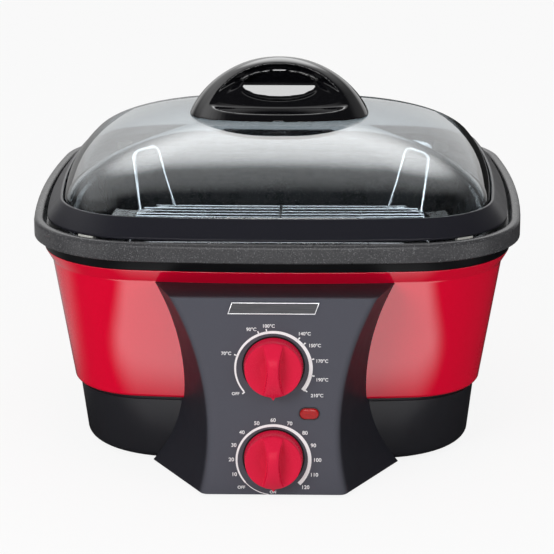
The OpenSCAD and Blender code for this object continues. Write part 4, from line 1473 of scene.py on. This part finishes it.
    def _scoop(self, side: int) -> Obj:
        """Build the tool that hollows one face of the grip.

        Args:
            side: -1 for the front and 1 for the back.

        Returns:
            The tool.
        """
        ring = turns(80)
        mid = self.grip_z + 0.5 * self.grip_h + self.sill_up
        rows = []
        for w, share in self.steps:
            row = []
            for a in ring:
                (x, z), (_, mouth) = self._scoop_point(a, w), self._scoop_point(a, 0.0)
                low = max(self.brow, self._face(z) - share * self.scoop_depth)
                high = self._face(mouth) + (self.brow - self._face(mouth)) * w**0.7
                y = low + (high - low) * min(1.0, max(0.0, 2.0 * math.sin(a))) if w else low
                row.append(self.plan.at(x, side * y, z))
            rows.append(row)
        for squeeze, lift, deep in ((1.0, False, 0.0), (0.97, True, 0.0), (0.97, True, 1.0)):
            row = []
            for x, z in (self._scoop_point(a, 1.0) for a in ring):
                up = z - mid
                slope = self.sill_slope if up < 0 else (self.sill - self.brow) / self.hole_z
                wall = self.sill - slope * up
                if lift:
                    up, wall = max(up, -self.pocket_fall * deep), min(wall, self.sill)
                y = wall + (self.web + self.pocket_lean * max(up, 0.0) - wall) * deep
                row.append(self.plan.at(x * squeeze, side * y, mid + up))
            rows.append(row)
        return block("scoop_tool", rows)


@dataclass
class SolidDressing:
    """Finishes of the solids that stay as they are."""

    finishes: dict[str, Finish] = field(default_factory=lambda: {
        "rubber_feet": RUBBER, "tie_screws": STEEL, "tie_nuts": STEEL, "inner_liner": SHEET,
        "heating_plate": CAST_PLATE, "heating_element": OXIDE, "heater_posts": STEEL,
        "thermal_cutout": CERAMIC, "terminal_block": CERAMIC, "cord_gland": RUBBER,
        "pod_screws": STEEL, "badge_plate": BADGE,
        "pilot_lamp": BULB, "thermostat_body": SWITCH, "timer_body": SWITCH, "temp_spindle": STEEL,
        "timer_spindle": STEEL, "lid_bumpers": SILICONE, "lid_washers": RUBBER, "lid_screws": STEEL,
    })

    def build(self) -> None:
        """Dress the solids."""
        for node, finish in self.finishes.items():
            dress(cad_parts[node], finish)
            LOG.info("%s: dressed in %s", node, finish.name)


# Studio


@dataclass(frozen=True)
class Card:
    """A soft patch of light in the sky, seen in glossy surfaces only.

    Attributes:
        way: Direction of its middle.
        squeeze: Scale of directions along X, less than 1 for a wide patch.
        inner: Angle from its middle where it starts to fade, in degrees.
        outer: Angle where it ends, in degrees.
        level: Its brightness, where 1 is white.
        direct: Whether rays that passed through glass miss it.
    """

    way: Triple
    squeeze: float
    inner: float
    outer: float
    level: float
    direct: bool = False


@dataclass
class Studio:
    """Camera, floor and soft light."""

    target: Vector = field(default_factory=lambda: Vector((0.0, 0.023, 0.1018)))
    distance: float = 1.7
    elevation: float = 16.17
    azimuth: float = 1.12
    focal_px: float = 2139.45
    image_px: float = 554.0
    sensor: float = 36.0
    shift_px: float = 2.41
    ambient: float = 0.62
    inside: float = 2.6
    gloom: float = 0.03
    floor_share: float = 0.88
    cards: tuple[Card, ...] = (
        Card((0.0, 0.788, 0.616), 0.85, 5.0, 22.0, 2.4),
        Card((-0.22, 0.6, 0.766), 0.8, 15.0, 45.0, 0.85),
        Card((0.0, 0.995, 0.1), 0.35, 7.0, 20.0, 0.75),
        Card((-0.82, 0.0, 0.57), 1.0, 10.0, 30.0, 0.5),
        Card((0.6, 0.65, 0.45), 1.0, 10.0, 30.0, 0.15),
        Card((0.0, -0.985, 0.17), 0.35, 6.0, 9.0, 8.0, direct=True),
    )

    def build(self) -> None:
        """Set up the camera, the floor and the lights."""
        self._camera()
        self._floor()
        self._world()
        self._softbox("left_softbox", (-1.1, -1.6, 1.0), 1.0, 19.0)
        self._softbox("right_softbox", (1.4, -1.3, 0.9), 0.9, 6.0)
        bpy.context.scene.view_settings.view_transform = "Standard"

    def _camera(self) -> None:
        """Stand the camera where the photograph was taken from."""
        a, e = math.radians(self.azimuth), math.radians(self.elevation)
        back = Vector((math.sin(a) * math.cos(e), -math.cos(a) * math.cos(e), math.sin(e)))
        data = bpy.data.cameras.new("camera")
        data.sensor_width = self.sensor
        data.lens = self.focal_px * self.sensor / self.image_px
        data.shift_x = -self.shift_px / self.image_px
        camera = bpy.data.objects.new("camera", data)
        bpy.context.scene.collection.objects.link(camera)
        camera.location = self.target + back * self.distance
        camera.rotation_mode = "QUATERNION"
        camera.rotation_quaternion = (-back).to_track_quat("-Z", "Y")
        bpy.context.scene.camera = camera

    @staticmethod
    def _mirrored(graph: Graph, light: Outputs) -> Socket:
        """Tell rays that have met a glossy surface, also those that left through the glass again.

        Args:
            graph: Nodes to add to.
            light: Outputs of its light path node.

        Returns:
            A socket that is 1 for such rays and 0 for others.
        """
        met = graph.spread(light["Glossy Depth"], (0.0, 1.0))
        seen = graph.math("MAXIMUM", light["Is Glossy Ray"], light["Is Transmission Ray"])
        return graph.math("MULTIPLY", met, seen)

    def _floor(self) -> None:
        """Lay a white floor that keeps a soft shadow and is bright in front of the cooker."""
        deselect()
        bpy.ops.mesh.primitive_plane_add(size=24.0)
        floor = named(bpy.context.object, "floor")
        made = bpy.data.materials.new("white_floor")
        made.use_nodes = True
        graph = Graph(made.node_tree)
        shader = graph.tree.nodes["Principled BSDF"]
        shader.inputs["Base Color"].default_value = (0.82, 0.82, 0.82, 1.0)
        shader.inputs["Roughness"].default_value = 0.9
        light = graph.node("LightPath").outputs
        glow = graph.node("Emission")
        level = graph.either(self._mirrored(graph, light), 1.0, self._pattern(graph))
        graph.feed(glow.inputs["Strength"], level)
        share = graph.math("MULTIPLY", light["Is Camera Ray"], self.floor_share)
        share = graph.math("MAXIMUM", share, light["Is Glossy Ray"])
        mix = graph.node("MixShader")
        graph.feed(mix.inputs["Fac"], graph.math("MAXIMUM", share, light["Is Transmission Ray"]))
        graph.feed(mix.inputs[1], shader.outputs[0])
        graph.feed(mix.inputs[2], glow.outputs[0])
        graph.feed(graph.tree.nodes["Material Output"].inputs["Surface"], mix.outputs[0])
        floor.data.materials.append(made)

    @staticmethod
    def _pattern(graph: Graph) -> Socket:
        """Lay light patches on the floor, seen in glossy surfaces only.

        Args:
            graph: Nodes of the floor.

        Returns:
            The brightness at a place.
        """
        place = graph.split(graph.node("TexCoord").outputs["Object"])
        side = graph.math("ABSOLUTE", place["X"])
        patches = (
            (place["Y"], (-0.24, -0.17), (1.3, 0.0), side, (0.185, 0.265), (1.0, 0.0)),
            (place["X"], (-0.3, -0.16), (0.3, 0.0), place["Y"], (-0.1, 0.06), (0.0, 1.0)),
            (side, (0.4, 0.55), (0.0, 1.2), place["Y"], (-0.3, -0.1), (1.0, 0.0)),
        )
        total: Socket | float = 0.02
        for one, one_at, level, other, other_at, share in patches:
            patch = graph.math(
                "MULTIPLY",
                graph.spread(one, one_at, level, soft=True),
                graph.spread(other, other_at, share, soft=True),
            )
            total = graph.math("ADD", patch, total)
        return total

    def _world(self) -> None:
        """Light the scene evenly, with soft cards for glossy surfaces and white behind."""
        world = bpy.data.worlds.new("studio")
        world.use_nodes = True
        world.cycles.sampling_method = "NONE"
        bpy.context.scene.world = world
        graph = Graph(world.node_tree)
        way = graph.node("TexCoord").outputs["Generated"]
        light = graph.node("LightPath").outputs
        free = graph.spread(light["Is Transmission Ray"], (0.0, 1.0), (1.0, 0.0))
        total = graph.spread(light["Transmission Depth"], (3.0, 4.0), (self.gloom, self.inside))
        for card in self.cards:
            glow = self._card(graph, way, card)
            if card.direct:
                glow = graph.math("MULTIPLY", glow, free)
            total = graph.math("ADD", glow, total)
        clear = graph.math("MAXIMUM", light["Is Camera Ray"], light["Is Transmission Ray"])
        back = graph.tree.nodes["Background"].inputs
        back["Color"].default_value = (1.0, 1.0, 1.0, 1.0)
        plain = graph.either(clear, self.ambient, 1.0)
        graph.feed(back["Strength"], graph.either(self._mirrored(graph, light), plain, total))

    @staticmethod
    def _card(graph: Graph, way: Socket, card: Card) -> Socket:
        """Add one card to the sky.

        Args:
            graph: Nodes of the world.
            way: Socket of the direction.
            card: The card.

        Returns:
            Its brightness in that direction.
        """
        squeezed, unit, near = (graph.node("VectorMath") for _ in range(3))
        squeezed.operation, unit.operation, near.operation = "MULTIPLY", "NORMALIZE", "DOT_PRODUCT"
        graph.feed(squeezed.inputs[0], way)
        squeezed.inputs[1].default_value = (card.squeeze, 1.0, 1.0)
        graph.feed(unit.inputs[0], squeezed.outputs[0])
        graph.feed(near.inputs[0], unit.outputs[0])
        x, y, z = card.way
        near.inputs[1].default_value = Vector((x * card.squeeze, y, z)).normalized()
        ends = (math.cos(math.radians(card.outer)), math.cos(math.radians(card.inner)))
        return graph.spread(near.outputs["Value"], ends, (0.0, card.level), soft=True)

    def _softbox(self, name: str, at: Triple, size: float, power: float) -> None:
        """Hang one square softbox that faces the cooker.

        Args:
            name: Name of the light.
            at: Its place.
            size: Its width.
            power: Its power in watts.
        """
        data = bpy.data.lights.new(name, "AREA")
        data.size = size
        data.energy = power
        light = bpy.data.objects.new(name, data)
        bpy.context.scene.collection.objects.link(light)
        light.location = at
        light.rotation_mode = "QUATERNION"
        light.rotation_quaternion = (self.target - Vector(at)).to_track_quat("-Z", "Y")
        light.visible_glossy = False


def main() -> None:
    """Build the studio and every sub-assembly in order."""
    logging.basicConfig(level=logging.INFO, format="%(name)s %(message)s")
    plan = PlanOutline()
    Studio().build()
    Housing(plan).build()
    pod = Pod(plan)
    pod.build()
    Knobs(pod).build()
    Pot(plan).build()
    Rack(plan).build()
    Lid(plan).build()
    SolidDressing().build()
    deselect()


if __name__ == "__main__":
    main()
